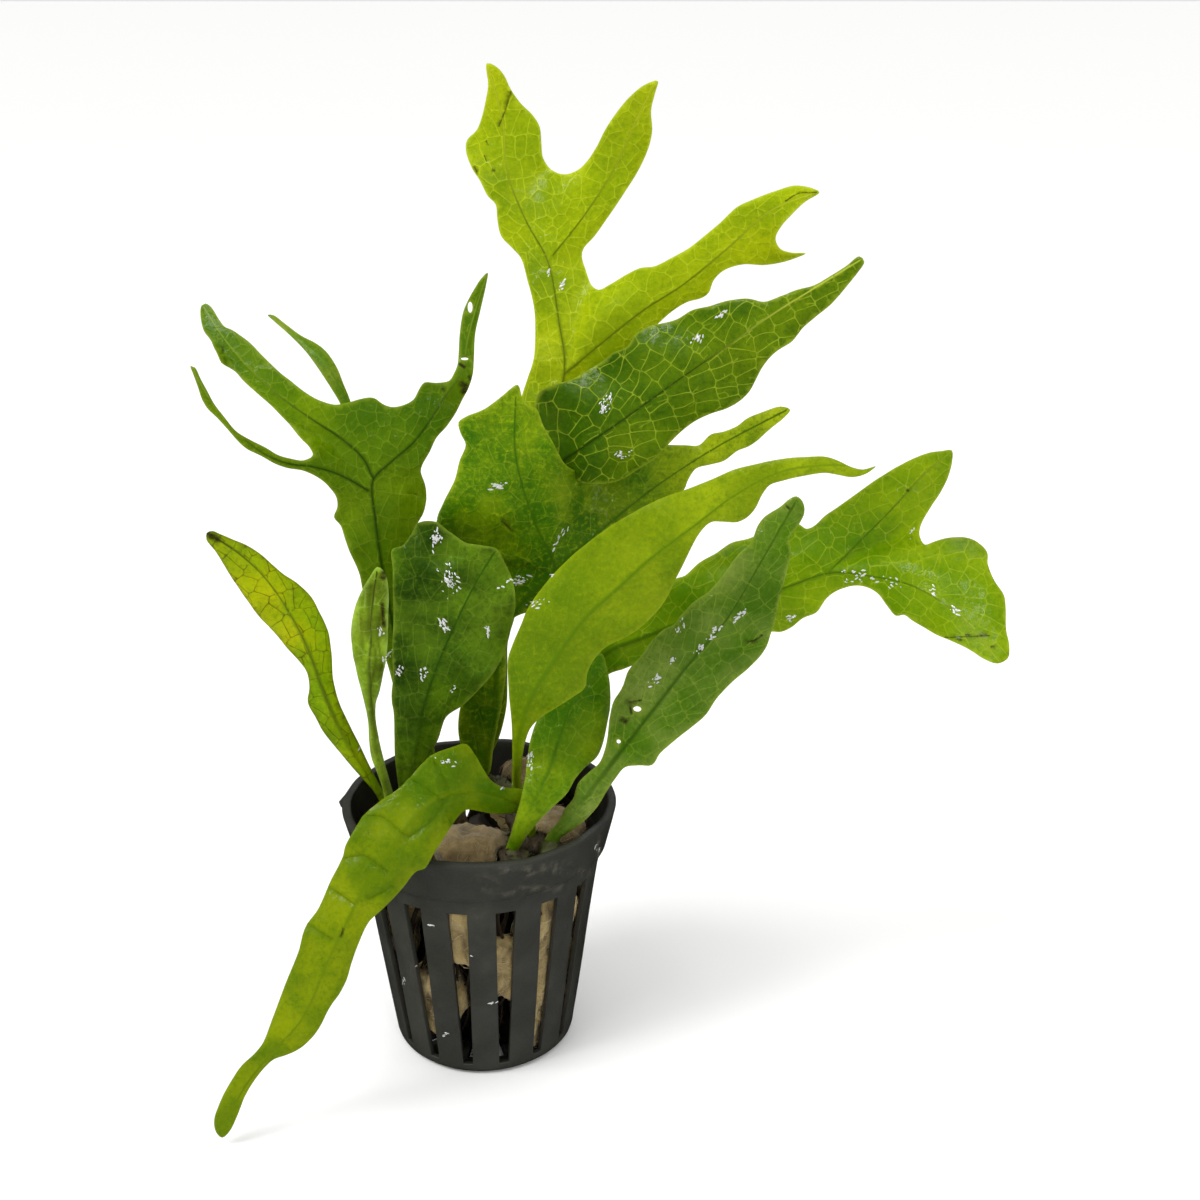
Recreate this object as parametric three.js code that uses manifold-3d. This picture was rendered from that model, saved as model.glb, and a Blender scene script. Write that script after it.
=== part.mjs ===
// Thor's hammer java fern in a small net pot.
// Units are millimetres, +Z is up, and the origin is the middle of the pot's flat foot.
// The front of the plant faces -Y.
import * as THREE from 'three';
import { mergeVertices } from 'three/addons/utils/BufferGeometryUtils.js';
import Module from 'manifold-3d';

const wasm = await Module();
wasm.setup();

// Net pot, a standard 52 mm size
const POT_HEIGHT = 50.5;
const RIM_RADIUS = 26;
const RIM_WALL = 1.8;
const RIM_ROUND = 0.5;
const COLLAR_HEIGHT = 8.6;
const COLLAR_FOOT = POT_HEIGHT - COLLAR_HEIGHT;
const COLLAR_FOOT_RADIUS = 24.2;
const BODY_TOP_RADIUS = 23.2;
const BODY_FOOT_RADIUS = 17.4;
const BODY_WALL = 1.1;
const FOOT_ROUND = 1.6;
const FLOOR_THICK = 1.4;
const POT_SIDES = 56;
const SLOT_COUNT = 16;
const SLOT_TOP = 38.6;
const SLOT_BOTTOM = 2.4;
const SLOT_TOP_WIDTH = 3.7;
const SLOT_BOTTOM_WIDTH = 1.9;
// Turn of the first slot right of the front, in degrees
const FIRST_SLOT_TURN = -7.3;
const FLOOR_SLOT_START = 8.5;
const FLOOR_SLOT_END = 14;
const FLOOR_SLOT_WIDTH = 1.8;

// Fit between pieces that touch. The wall is faceted, so what fills the pot keeps more room there.
const GAP = 0.3;
const WALL_GAP = 0.55;
const STEM_GAP = 0.375;

// Planting wool and the old root ball
const WOOL_LOW = FLOOR_THICK + GAP;
const WOOL_HIGH = 54;

// Creeping stem
const STEM_RADIUS = 2.7;
const KNOB_RADIUS = 2.7;
const KNOB_DROP = 1.2;
const ROOT_RADIUS = 0.65;

// Frond thicknesses
const BLADE_THICK = 0.7;
const RIB_EXTRA = 0.55;
const RIB_SPREAD = 1.1;
const STALK_THICK = 1.8;
const STALK_FADE = 26;
const STALK_SPREAD = 1.6;
const RUFFLE_REACH = 7;
const RUFFLE_SHIFT = 1.3;

// Triangle size on a blade
const BLADE_STEP = 4.6;
const OUTLINE_STEP = 4;
const EDGE_CLEAR = 1.9;
const RIB_STEP = 4.2;

// Every frond is drawn on a leaning board through the pot's axis, as it looks from EYE.
// Across and up are millimetres on that board, and the pot's foot is at 0, 0.
const EYE = new THREE.Vector3(23, -273, 194);
const BOARD_DISTANCE = 291.9;
const BOARD_LEAN = THREE.MathUtils.degToRad(20.7);
const BOARD_RISE = 76.6;
const BOARD_UP = new THREE.Vector3(0, Math.sin(BOARD_LEAN), Math.cos(BOARD_LEAN));
const BOARD_FORWARD = new THREE.Vector3(0, Math.cos(BOARD_LEAN), -Math.sin(BOARD_LEAN));

// Colours of the real pieces
const POT_GREY = '#33342f';
const WOOL_TAN = '#a89468';
const ROOT_BROWN = '#2c2417';
const STEM_BROWN = '#3c3218';

const group = new THREE.Group();

// Seeded draw, so that every build gives the same plant
function makeDraw(seed) {
  let state = seed;
  return () => {
    state = (state * 1664525 + 1013904223) % 4294967296;
    return state / 4294967296;
  };
}

// Closed mesh to solid and back
function toSolid(geometry) {
  const bare = geometry.index ? geometry.toNonIndexed() : geometry.clone();
  bare.deleteAttribute('normal');
  bare.deleteAttribute('uv');
  const merged = mergeVertices(bare, 1e-4);
  return new wasm.Manifold(new wasm.Mesh({
    numProp: 3,
    vertProperties: new Float32Array(merged.attributes.position.array),
    triVerts: new Uint32Array(merged.index.array),
  }));
}

function toGeometry(solid) {
  const mesh = solid.getMesh();
  const geometry = new THREE.BufferGeometry();
  geometry.setAttribute('position', new THREE.BufferAttribute(mesh.vertProperties, 3));
  geometry.setIndex(new THREE.BufferAttribute(mesh.triVerts, 1));
  geometry.computeVertexNormals();
  return geometry;
}

function addPiece(name, geometry, color, roughness) {
  const material = new THREE.MeshStandardMaterial({ color, roughness, metalness: 0 });
  const mesh = new THREE.Mesh(geometry, material);
  mesh.name = name;
  group.add(mesh);
}

// Profile points are radius and height, turned about the pot's axis
function turned(profile, sides) {
  const points = profile.map(([radius, height]) => new THREE.Vector2(radius, height));
  return new THREE.LatheGeometry(points, sides).rotateX(Math.PI / 2);
}

function bodyRadius(height) {
  return THREE.MathUtils.mapLinear(height, 0, COLLAR_FOOT, BODY_FOOT_RADIUS, BODY_TOP_RADIUS);
}

// One tapered slot, pointing along -Y before it is turned
function slotCutter() {
  const shape = new THREE.Shape();
  shape.moveTo(-SLOT_BOTTOM_WIDTH / 2, SLOT_BOTTOM);
  shape.lineTo(SLOT_BOTTOM_WIDTH / 2, SLOT_BOTTOM);
  shape.lineTo(SLOT_TOP_WIDTH / 2, SLOT_TOP);
  shape.lineTo(-SLOT_TOP_WIDTH / 2, SLOT_TOP);
  shape.closePath();
  const depth = RIM_RADIUS - FLOOR_SLOT_END;
  const cutter = new THREE.ExtrudeGeometry(shape, { depth, bevelEnabled: false });
  return cutter.rotateX(Math.PI / 2).translate(0, -FLOOR_SLOT_END, 0);
}

function floorSlotCutter() {
  const length = FLOOR_SLOT_END - FLOOR_SLOT_START;
  const cutter = new THREE.BoxGeometry(FLOOR_SLOT_WIDTH, length, FLOOR_THICK * 4);
  return cutter.translate(0, -(FLOOR_SLOT_START + length / 2), 0);
}

function netPot() {
  let pot = toSolid(turned([
    [0, 0],
    [BODY_FOOT_RADIUS - FOOT_ROUND, 0],
    [BODY_FOOT_RADIUS - FOOT_ROUND * 0.3, FOOT_ROUND * 0.3],
    [bodyRadius(FOOT_ROUND), FOOT_ROUND],
    [BODY_TOP_RADIUS, COLLAR_FOOT],
    [COLLAR_FOOT_RADIUS, COLLAR_FOOT + RIM_ROUND],
    [RIM_RADIUS, POT_HEIGHT - RIM_ROUND],
    [RIM_RADIUS - RIM_ROUND, POT_HEIGHT],
    [RIM_RADIUS - RIM_WALL + RIM_ROUND, POT_HEIGHT],
    [RIM_RADIUS - RIM_WALL, POT_HEIGHT - RIM_ROUND],
    [COLLAR_FOOT_RADIUS - RIM_WALL, COLLAR_FOOT + RIM_ROUND * 2],
    [BODY_TOP_RADIUS - BODY_WALL, COLLAR_FOOT - RIM_ROUND],
    [bodyRadius(FLOOR_THICK) - BODY_WALL, FLOOR_THICK],
    [0, FLOOR_THICK],
  ], POT_SIDES));
  const wallCutter = slotCutter();
  const floorCutter = floorSlotCutter();
  for (let slot = 0; slot < SLOT_COUNT; slot += 1) {
    const turn = THREE.MathUtils.degToRad(FIRST_SLOT_TURN + slot * 360 / SLOT_COUNT);
    pot = pot.subtract(toSolid(wallCutter.clone().rotateZ(turn)));
    pot = pot.subtract(toSolid(floorCutter.clone().rotateZ(turn)));
  }
  return pot;
}

// Room inside the pot for wool and roots
function potRoom() {
  const inner = (height) => bodyRadius(height) - BODY_WALL - WALL_GAP;
  return toSolid(turned([
    [0, WOOL_LOW],
    [inner(WOOL_LOW), WOOL_LOW],
    [inner(COLLAR_FOOT - 1), COLLAR_FOOT - 1],
    [COLLAR_FOOT_RADIUS - RIM_WALL - WALL_GAP, COLLAR_FOOT + 1.2],
    [RIM_RADIUS - RIM_WALL - WALL_GAP, POT_HEIGHT - 1],
    [RIM_RADIUS - RIM_WALL - WALL_GAP, WOOL_HIGH],
    [0, WOOL_HIGH],
  ], POT_SIDES / 2));
}

// A torn lump: a ball pulled to half sizes along its turn, its radius and up, and dented all over
function tornLump(lump, grow) {
  const ball = mergeVertices(bareBall(2));
  const position = ball.attributes.position;
  const point = new THREE.Vector3();
  for (let index = 0; index < position.count; index += 1) {
    point.fromBufferAttribute(position, index).normalize();
    const dent = 1
      + 0.10 * Math.sin(4.1 * point.x + 2.3 * point.z + lump.seed)
      + 0.08 * Math.sin(5.3 * point.y - 3.1 * point.z + 2.1 * lump.seed)
      + 0.05 * Math.sin(9.7 * point.z + 7.9 * point.x + 3.7 * lump.seed);
    position.setXYZ(
      index,
      point.x * (lump.wide * dent + grow),
      point.y * (lump.deep * dent + grow),
      point.z * (lump.tall * dent + grow),
    );
  }
  const turn = THREE.MathUtils.degToRad(lump.turn);
  ball.translate(0, -lump.out, lump.height).rotateZ(turn);
  return toSolid(ball);
}

function bareBall(detail) {
  const ball = new THREE.IcosahedronGeometry(1, detail);
  ball.deleteAttribute('normal');
  ball.deleteAttribute('uv');
  return ball;
}

// Round rod along a smooth path of points
function rod(points, radius, sides, steps) {
  const path = new THREE.CatmullRomCurve3(points.map((point) => new THREE.Vector3(...point)));
  const corners = [];
  for (let side = 0; side < sides; side += 1) {
    const angle = side * 2 * Math.PI / sides;
    corners.push(new THREE.Vector2(radius * Math.cos(angle), radius * Math.sin(angle)));
  }
  const section = new THREE.Shape(corners);
  return toSolid(new THREE.ExtrudeGeometry(section, { steps, extrudePath: path }));
}

// Lumps of planting wool, by degrees right of the front, distance out, height and half sizes
const WOOL_LUMPS = [
  { name: 'wool_front_high', turn: -8, out: 17.6, height: 33, wide: 5, deep: 5, tall: 8.5, seed: 1 },
  { name: 'wool_front_middle', turn: 14, out: 17.6, height: 24, wide: 4.4, deep: 5, tall: 7, seed: 2 },
  { name: 'wool_front_low', turn: -31, out: 15.6, height: 15, wide: 5.5, deep: 5, tall: 8, seed: 3 },
  { name: 'wool_right', turn: 50, out: 16.7, height: 21, wide: 8.2, deep: 6, tall: 20, seed: 4 },
  { name: 'wool_right_back', turn: 103, out: 16.7, height: 24, wide: 8.5, deep: 6, tall: 17, seed: 5 },
  { name: 'wool_back', turn: 164, out: 16.4, height: 22, wide: 10, deep: 6, tall: 19, seed: 6 },
  { name: 'wool_left_back', turn: -143, out: 16.6, height: 26, wide: 8.5, deep: 6, tall: 17, seed: 7 },
  { name: 'wool_left', turn: -88, out: 17.1, height: 27, wide: 8.5, deep: 5.5, tall: 16, seed: 8 },
  { name: 'wool_top_front', turn: -5, out: 12.6, height: 45.6, wide: 7.4, deep: 6.6, tall: 5, seed: 9 },
  { name: 'wool_top_right', turn: 70, out: 15.4, height: 45.4, wide: 7.2, deep: 6, tall: 4.2, seed: 10 },
  { name: 'wool_top_back', turn: 148, out: 16, height: 45, wide: 6.5, deep: 5, tall: 6, seed: 11 },
];
const ROOT_BALL = { turn: 0, out: 0, height: 14, wide: 12.5, deep: 12.5, tall: 31, seed: 12 };

// Creeping stem: a curved main length and a short branch, lying on the wool
const STEM_MAIN = [
  [-19, 0.5, 45], [-14.5, 2.5, 46], [-11, 7, 46.5], [-5, 14, 46.2], [1, 12.5, 46.4],
  [6.5, 6, 46.6], [8, -1, 46.3], [9, -9, 45.8], [7.2, -16, 46],
];
const STEM_BRANCH = [[8.6, -6, 46], [11, -10.5, 46], [13.4, -12.8, 46.2]];

// Wiry roots that leave the stem and run down into the wool
const ROOTS = [
  [[-17, 1, 45], [-18, -5, 41.5], [-17.5, -7, 35]],
  [[-14, 3, 45], [-14.5, 10, 41], [-14, 11, 34]],
  [[-9, 9, 46], [-9, 3, 43.4], [-5, -3, 42.5]],
  [[-4, 14, 46], [-7, 16.5, 42], [-7, 16.5, 35]],
  [[5, 8, 46], [9, 12, 42.5], [11.5, 13, 36]],
  [[8, -3, 46], [2, -5, 43.6], [-4, -9, 43], [-8, -13, 41]],
  [[9, -9, 46], [14, -5, 43], [17.5, -4, 39]],
  [[7.5, -15, 45.5], [1, -14, 44.8], [-6, -15.5, 42.5]],
  [[13, -13, 45.5], [14.5, -12, 42], [15.3, -10.5, 36]],
];

// Fronds. Outline points are across and up on the board, counted round the blade from its stalk.
// Rib points are across, up and depth, where depth is the real Y. The first rib starts at the stalk.
// Tilt leans the blade across its rib, camber bends its edges back by the square of their distance,
// ruffle is the height of the waves along its edges and wave their length.
const FRONDS = [
  {
    name: 'frond_crown', color: '#a0b800', tilt: 0.2, camber: 0.02, ruffle: 0.9, wave: 17,
    outline: [
      [-3, 45.5], [-1.6, 54], [0.6, 65], [3, 76], [5.8, 90], [7.4, 103], [8.6, 113], [9.8, 117],
      [10.9, 120.5], [11.2, 125], [11, 130], [9.8, 135], [8.6, 139], [7, 140.8], [5, 143],
      [4.3, 146], [4, 148.8], [2.6, 150.3], [1.2, 153], [-0.3, 155.3], [-1.4, 158.5],
      [-1.2, 160.5], [0.5, 162.3], [1.4, 164.5], [2.2, 168], [2.6, 170.5], [2.4, 174.5],
      [4.2, 173.8], [5.5, 172.3], [6.7, 169.8], [8.5, 167.3], [10.8, 165], [12, 163], [12.3, 160],
      [12.6, 157.3], [14, 155.2], [16.5, 154.2], [19, 155], [20.8, 156.8], [22.5, 159.5],
      [24, 162.5], [26, 165.5], [28.5, 168.5], [31, 170.5], [33.5, 171.3], [33, 169],
      [32.3, 166], [32.5, 162], [31.8, 159], [30, 155], [27.5, 151], [24.5, 146.5], [22, 143],
      [20, 140.7], [19.7, 139.3], [20.5, 136.5], [21.5, 134], [22.8, 133.2], [25, 134.2],
      [28, 136], [30.5, 137.2], [33, 137.5], [36, 139], [39, 140.6], [42, 143], [45, 145.5],
      [48, 148.3], [51, 149.7], [55, 151.2], [59, 152.2], [63, 151], [60.5, 149.3], [58, 147],
      [56, 144.7], [55, 142.5], [55.8, 140.7], [58, 139.9], [60.5, 139.8], [57, 138.5],
      [53, 137.8], [49, 137.8], [45.5, 136.6], [43.7, 134.8], [42.8, 132.6], [41.5, 131.7],
      [39, 131], [36.5, 129.5], [34.7, 128], [30, 123.5], [24, 118.5], [19.5, 114], [15, 108],
      [12.5, 102], [9.2, 90], [6, 76], [3.4, 65], [0.6, 54], [-1, 45.5],
    ],
    ribs: [
      [[-2, 45.5, 15.5], [-0.5, 54, 14.5], [2, 65, 13], [4.5, 76, 12], [7.5, 90, 12], [11, 104, 12],
        [16.5, 117.5, 13.5], [15.5, 128, 17], [13.5, 138.5, 21], [9.5, 146, 24.5], [6.2, 154.5, 28],
        [5.3, 164, 30], [2.8, 173.5, 29]],
      [[14.3, 139.3, 21], [20, 146.5, 21], [25.5, 155, 19.5], [30, 165, 15], [33, 170.6, 11]],
      [[16.8, 118, 13.5], [24, 124, 11], [31, 129.5, 8.5], [38, 134, 5.5], [46, 140.5, 1.5],
        [54, 147.5, -3.5], [62.4, 151, -10]],
    ],
  },
  {
    name: 'frond_netted', color: '#4c7f00', tilt: 0.3, camber: 0.015, ruffle: 0.8, wave: 15,
    outline: [
      [-1.5, 45], [-0.2, 52], [1.5, 62], [3.5, 72], [6.2, 82], [9, 92], [10.3, 98], [10.5, 104],
      [10.8, 110], [12, 114.5], [15, 116], [18, 116.8], [20.5, 118.3], [23, 119.8],
      [25.5, 121.8], [28, 122.8], [29.5, 125], [31.5, 126.3], [34, 127], [37, 127.8],
      [40, 129.5], [43, 130.2], [46, 131.2], [50, 131.6], [53, 131], [56, 132], [59, 133.2],
      [62, 134], [65, 135.7], [68, 137.6], [70.3, 139.3], [71.2, 138.4], [70, 136.3],
      [68, 133.8], [65, 130.5], [62.5, 128.5], [60, 126.3], [58, 123.8], [55, 121.8],
      [52.8, 119.3], [51.5, 117], [50.3, 114.8], [48.5, 113], [46, 111.5], [43, 110.5],
      [40, 109], [37.5, 107], [35.5, 105], [33, 102.5], [30, 100.5], [27, 98.6], [24, 97.8],
      [20, 98], [17, 99.2], [15.2, 97.6], [13.2, 94], [10, 84], [7.4, 73.4], [6.2, 69], [6.1, 64],
      [5.9, 57], [4.4, 51], [2.2, 47], [0.6, 45],
    ],
    ribs: [
      [[-0.5, 45, 13], [1, 52, 10.5], [2.8, 62, 8], [5, 72, 5.5], [8, 83, 4], [11.5, 94, 2.5],
        [15.3, 101, 0], [20, 104.5, -3], [28, 110, -5.5], [37, 116.5, -8], [45, 122, -10],
        [55, 129, -12.5], [63, 134, -15.5], [70.5, 138.6, -20]],
    ],
  },
  {
    name: 'frond_shaded_fork', color: '#3f7600', tilt: -0.05, camber: 0.01, ruffle: 0.7, wave: 16,
    outline: [
      [0, 44.5], [-1.8, 48.5], [-2.8, 52], [-2.7, 56], [-1.6, 60], [-0.6, 65], [-0.2, 70],
      [-1, 76], [-3.4, 82], [-6, 87],
      [-6.8, 91], [-5.5, 94.5], [-3.5, 98.5], [-2.6, 102], [-1.5, 105], [-2.4, 107],
      [-2.8, 109], [-1.5, 110], [2, 111.5], [5, 113.7], [8, 115.8], [8.8, 113.6], [10, 112],
      [11.3, 111.6], [12.6, 108.5], [14.3, 105.5], [15.4, 103], [16, 100.6], [17, 98.6],
      [18.4, 97.6], [20, 97.2], [21.8, 98.4], [23.4, 100.6], [25, 102.8], [29, 104.5], [33, 105], [36, 105], [38.5, 104.9],
      [41, 104.8], [43.3, 106.8], [45.5, 107.3], [48, 108.3], [50, 109.8], [53, 111],
      [56, 111.9], [57.7, 111.3], [56.5, 109.8], [54, 107.8], [51.5, 105.6], [50, 104.6],
      [48, 103.8], [45.5, 102], [43, 101.3], [40.5, 100.6], [39, 98.5], [38.3, 96.8],
      [36.5, 95.6], [33, 93], [28, 89], [23, 84.5], [19, 80], [15.5, 76.3], [12, 74.8],
      [8.5, 74], [6.4, 72.5], [5.8, 69], [5.9, 64], [5, 57], [3.6, 50], [2.5, 44.5],
    ],
    ribs: [
      [[1.5, 44.5, 10], [2.5, 50, 7.5], [3.8, 58, 3.5], [4.4, 66, 0], [6.5, 73, -2],
        [10.5, 78, -3], [14.6, 82, -4], [11.5, 90, -6], [9, 97, -7.5], [7.5, 104, -8.5],
        [7.6, 113.5, -8]],
      [[14.8, 82, -4], [19, 86, -1.5], [25, 91, 2.5], [34, 98, 8], [45, 105, 14],
        [56.8, 111.2, 21]],
    ],
  },
  {
    name: 'frond_bright_blade', color: '#8faa00', tilt: 0.18, camber: 0.03, ruffle: 0.8, wave: 22,
    outline: [
      [6.9, 38], [6.9, 42], [7, 48], [6.9, 54], [6.4, 60], [6.3, 66], [7, 68.3], [8.8, 72.5],
      [9.6, 74.5], [11.5, 77.5], [14.7, 81.4], [19, 85.6], [24, 89.5], [29, 92.6], [34, 95],
      [38.5, 96.7], [43, 98.5], [47, 100.2], [52, 101.5], [56, 102.3], [60, 102.7],
      [64, 102.8], [66.5, 102], [69, 100.8], [71, 100.4], [73.3, 101], [71.5, 99.6], [69, 99],
      [66.5, 99.4], [64, 99.8], [60, 99.2], [56.5, 98.4], [54, 97.6], [52.7, 96],
      [51.3, 93.3], [49.8, 91.7], [48, 90.9], [45.5, 90.9], [43.3, 90.8], [41.5, 89.2],
      [39.8, 86.5], [38.3, 83.5], [36.7, 80.3], [35.2, 77], [33, 74], [30, 71.4], [27, 69.5],
      [24, 68], [22, 66], [20.7, 63.5], [20.2, 60.6], [17.8, 58.8], [14.5, 56.7], [12, 55],
      [10.3, 53.2], [9.2, 50], [8.7, 46], [8.6, 42], [8.6, 38],
    ],
    ribs: [
      [[7.7, 38, -1], [7.8, 43, -4.5], [7.9, 48, -11], [8.6, 53, -16.5], [11, 60, -21], [15, 66, -23],
        [20, 73, -25.5], [26, 78.5, -28.5], [32, 84, -31], [40, 90, -34], [48, 96, -36.5],
        [56, 100, -39], [64, 101.2, -41], [72.8, 100.8, -42]],
    ],
  },
  {
    name: 'frond_hammer', color: '#7d9c00', tilt: 0.15, camber: 0.02, ruffle: 1, wave: 18,
    outline: [
      [8.6, 40.5], [10.4, 47], [12.5, 54], [15.6, 60.5], [19.5, 66], [24.5, 71], [30, 75.5],
      [34, 78.5], [36.7, 80.5], [38.5, 81], [41, 83.3], [44, 85], [47, 87], [50, 87.7],
      [52, 88.5], [55, 90], [58, 90.9], [59.6, 90.3], [60.5, 89.7], [62, 90.2], [64, 92],
      [66.5, 93.6], [70, 96.2], [75, 99.6], [78, 101.2], [80, 102.2], [83, 103.5],
      [85.3, 103.8], [87.2, 103.9], [87.2, 102], [86.5, 99.3], [85, 96], [83, 92.8],
      [81.7, 90.5], [81.3, 88.5], [82.3, 86.6], [84, 87.2], [86.5, 88], [90, 87.9],
      [92, 87], [93.6, 85.3], [93.8, 83], [95, 80], [96.7, 77.4], [97, 75], [97, 71.5],
      [97.7, 68], [97.4, 66], [95.5, 65], [93.5, 65.6], [90, 67.8], [87, 69.2], [84.5, 70.1],
      [82, 71.6], [80, 72.8], [78.5, 73.9], [77, 73.8], [75.5, 75.5], [73.5, 78],
      [70.5, 79.2], [67, 78.5], [64.5, 76.9], [62.5, 74.4], [60, 73.4], [58, 71.7],
      [56, 70.8], [54.3, 70.8], [50, 70], [44, 69.5], [38, 68.3], [33, 66.2], [28, 64.3],
      [24.8, 63.2], [20.5, 60], [17.2, 55], [14.6, 49], [12.6, 44], [10.8, 40],
    ],
    ribs: [
      [[9.6, 40.2, 4], [12, 46.5, 3], [14.6, 53, 1], [18, 59.5, -1], [24, 66.8, -3],
        [30, 69.5, -4.5], [36, 71.8, -5.5], [46, 75.3, -6], [57, 79, -6], [65, 81.6, -6.5],
        [73, 80.9, -9], [80, 79.2, -13], [87, 75, -18], [92, 70, -23], [95.6, 65.6, -27]],
      [[65, 82, -6.5], [70, 87, -3], [76, 93, 1.5], [82, 99.5, 6], [86.8, 103.5, 9]],
    ],
  },
  {
    name: 'frond_dark_lance', color: '#47780a', tilt: 0.12, camber: 0.035, ruffle: 0.9, wave: 14,
    outline: [
      [12.9, 32.6], [13.8, 34.4], [15.5, 36.3], [16.6, 38.6], [18, 40.3], [19, 43.2],
      [21, 45.2], [23, 47], [24.2, 50.5], [24.8, 55], [25.5, 58], [27, 60.5], [28.3, 63.8],
      [30.5, 66.5], [32.5, 69.3], [34.5, 71.3], [36.5, 72.3], [38, 74.2], [40, 76.3],
      [43, 78.2], [45.5, 81], [48, 84.5], [50.5, 87], [52, 90.3], [53.3, 91.9], [56, 93.6],
      [57.6, 95], [58.8, 95.5], [60, 94.5], [60.3, 92.5], [59.3, 90.3], [57.5, 88],
      [57.8, 86], [57.2, 82], [55.7, 77], [55, 73], [54.3, 70.6], [52.8, 67], [50, 64],
      [46.5, 61], [44.5, 59], [42.5, 56], [40, 53.5], [37, 51], [34, 48.5], [32.5, 46.5],
      [30, 46.4], [27.6, 46.1], [25.8, 44], [24.3, 41.8], [22.6, 39], [20.6, 36.8],
      [18.3, 34.9], [16, 33.3], [14.6, 31.8],
    ],
    ribs: [
      [[13.9, 32.2, -13.5], [17.2, 36.6, -13.5], [21, 41.5, -14], [26, 48, -15.5], [33, 57, -18],
        [40, 66, -20.5], [46, 73, -23], [52, 83, -25], [58.6, 94.4, -25]],
    ],
  },
  {
    name: 'frond_front_short', color: '#5a9000', tilt: 0.1, camber: 0.03, ruffle: 0.8, wave: 14,
    outline: [
      [5.8, 30.6], [6.6, 33.6], [7.6, 37], [8.6, 40.5], [9.4, 44.5], [9.8, 48], [10.4, 51.5],
      [11.4, 54.5], [13.5, 58], [17, 62], [20.5, 65.5], [23.3, 66.8], [24.3, 64],
      [24.8, 61], [24.8, 57], [24.1, 53], [23.4, 50], [22.4, 48], [20.4, 46.2],
      [18.5, 44], [17, 41.4], [14.5, 39], [12, 36.5], [10, 34], [8.3, 31.4], [7.5, 30],
    ],
    ribs: [
      [[6.7, 30.6, -16.5], [8.8, 36, -17], [11.5, 41, -16], [14, 46.5, -13.8], [15.8, 52, -11.8],
        [18, 58, -10], [23, 66.2, -7]],
    ],
  },
  {
    name: 'frond_drooping', color: '#7f9c00', tilt: -0.12, camber: 0.03, ruffle: 0.8, wave: 20,
    outline: [
      [10.9, 33], [11.3, 36.5], [11.4, 39.4], [10.4, 41.6], [8, 42.2], [5.4, 42.5], [3.2, 43.8],
      [1.5, 46], [0, 48.5], [-1.6, 50.2], [-4, 49.7], [-7, 48.7], [-9.5, 46.8], [-12, 44],
      [-15, 41.3], [-17, 40], [-19.5, 38], [-22, 34.5], [-23.5, 31.5], [-24, 29.5],
      [-26, 25.5], [-28.5, 20], [-30.7, 17], [-32, 12.5], [-33.8, 8], [-35.5, 3.5],
      [-37, -0.5], [-38.4, -4], [-40, -6], [-42.5, -8.5], [-44.5, -11.5], [-46.3, -15],
      [-47.3, -18], [-47, -20.3], [-45.9, -21.4], [-44.5, -20.2], [-43, -17], [-41.8, -14],
      [-40, -11], [-38, -8.5], [-36.3, -7], [-34, -6.2], [-31.5, -5], [-29.8, -3.5],
      [-28, -1], [-26.5, 2], [-24.5, 5], [-23.2, 7.5], [-22.3, 10.5], [-21, 14],
      [-19.3, 17.5], [-16.5, 20.5], [-13, 24], [-10.5, 27], [-9, 27.6], [-7.5, 30],
      [-5.5, 33], [-3.5, 36.5], [-1.5, 38.3], [1, 38], [4, 37.7], [6.5, 37.7],
      [8.4, 37.6], [9.2, 35.6], [9.2, 33],
    ],
    ribs: [
      [[10, 33.3, -10.5], [10, 37, -12], [9.4, 39.8, -12.5], [5, 40.3, -14.5], [0, 41.5, -18.5],
        [-7, 40.5, -23.5], [-14, 33, -28], [-20, 24, -31], [-26, 12, -33.5], [-31.5, 0, -35],
        [-37, -6, -36], [-42, -12.5, -37], [-45.8, -20.6, -38]],
    ],
  },
  {
    name: 'frond_yellowed', color: '#a8a81c', tilt: -0.25, camber: 0.03, ruffle: 0.5, wave: 18,
    outline: [
      [-16.4, 38.9], [-18.2, 41.6], [-20.3, 44], [-22.3, 46.2], [-24.5, 48.8], [-27, 52],
      [-29, 55.5], [-30.3, 58], [-30, 60.5], [-30.5, 63.5], [-31.8, 65.4], [-34.5, 68.3],
      [-37.5, 71.8], [-39.8, 74.5], [-42.5, 78], [-45.3, 82.7], [-47.3, 85.6], [-48.8, 87.6],
      [-48.7, 88.8], [-47.7, 89.2], [-46.3, 88.6], [-44, 87.6], [-41.5, 86.6], [-39, 85],
      [-37, 83.2], [-34.8, 81.3], [-32, 79.5], [-30, 77.5], [-28.2, 74.5], [-26.6, 71],
      [-26, 67], [-25.7, 62.5], [-24.8, 58.5], [-23, 54.5], [-21, 50.5], [-19.6, 47.5],
      [-17.8, 44], [-16.4, 41.5], [-15, 39.6],
    ],
    ribs: [
      [[-15.7, 39.2, 3], [-18.6, 43.5, 1.5], [-21.3, 47.8, 0], [-24.6, 53.5, -2], [-27.5, 60, -4],
        [-30, 67, -7.5], [-33.5, 74, -12], [-38, 80.5, -17], [-42.5, 84.8, -21],
        [-47.9, 88.5, -25]],
    ],
  },
  {
    name: 'frond_young_folded', color: '#6f9020', tilt: 0.25, camber: 0.05, ruffle: 0.4, wave: 12,
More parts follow.
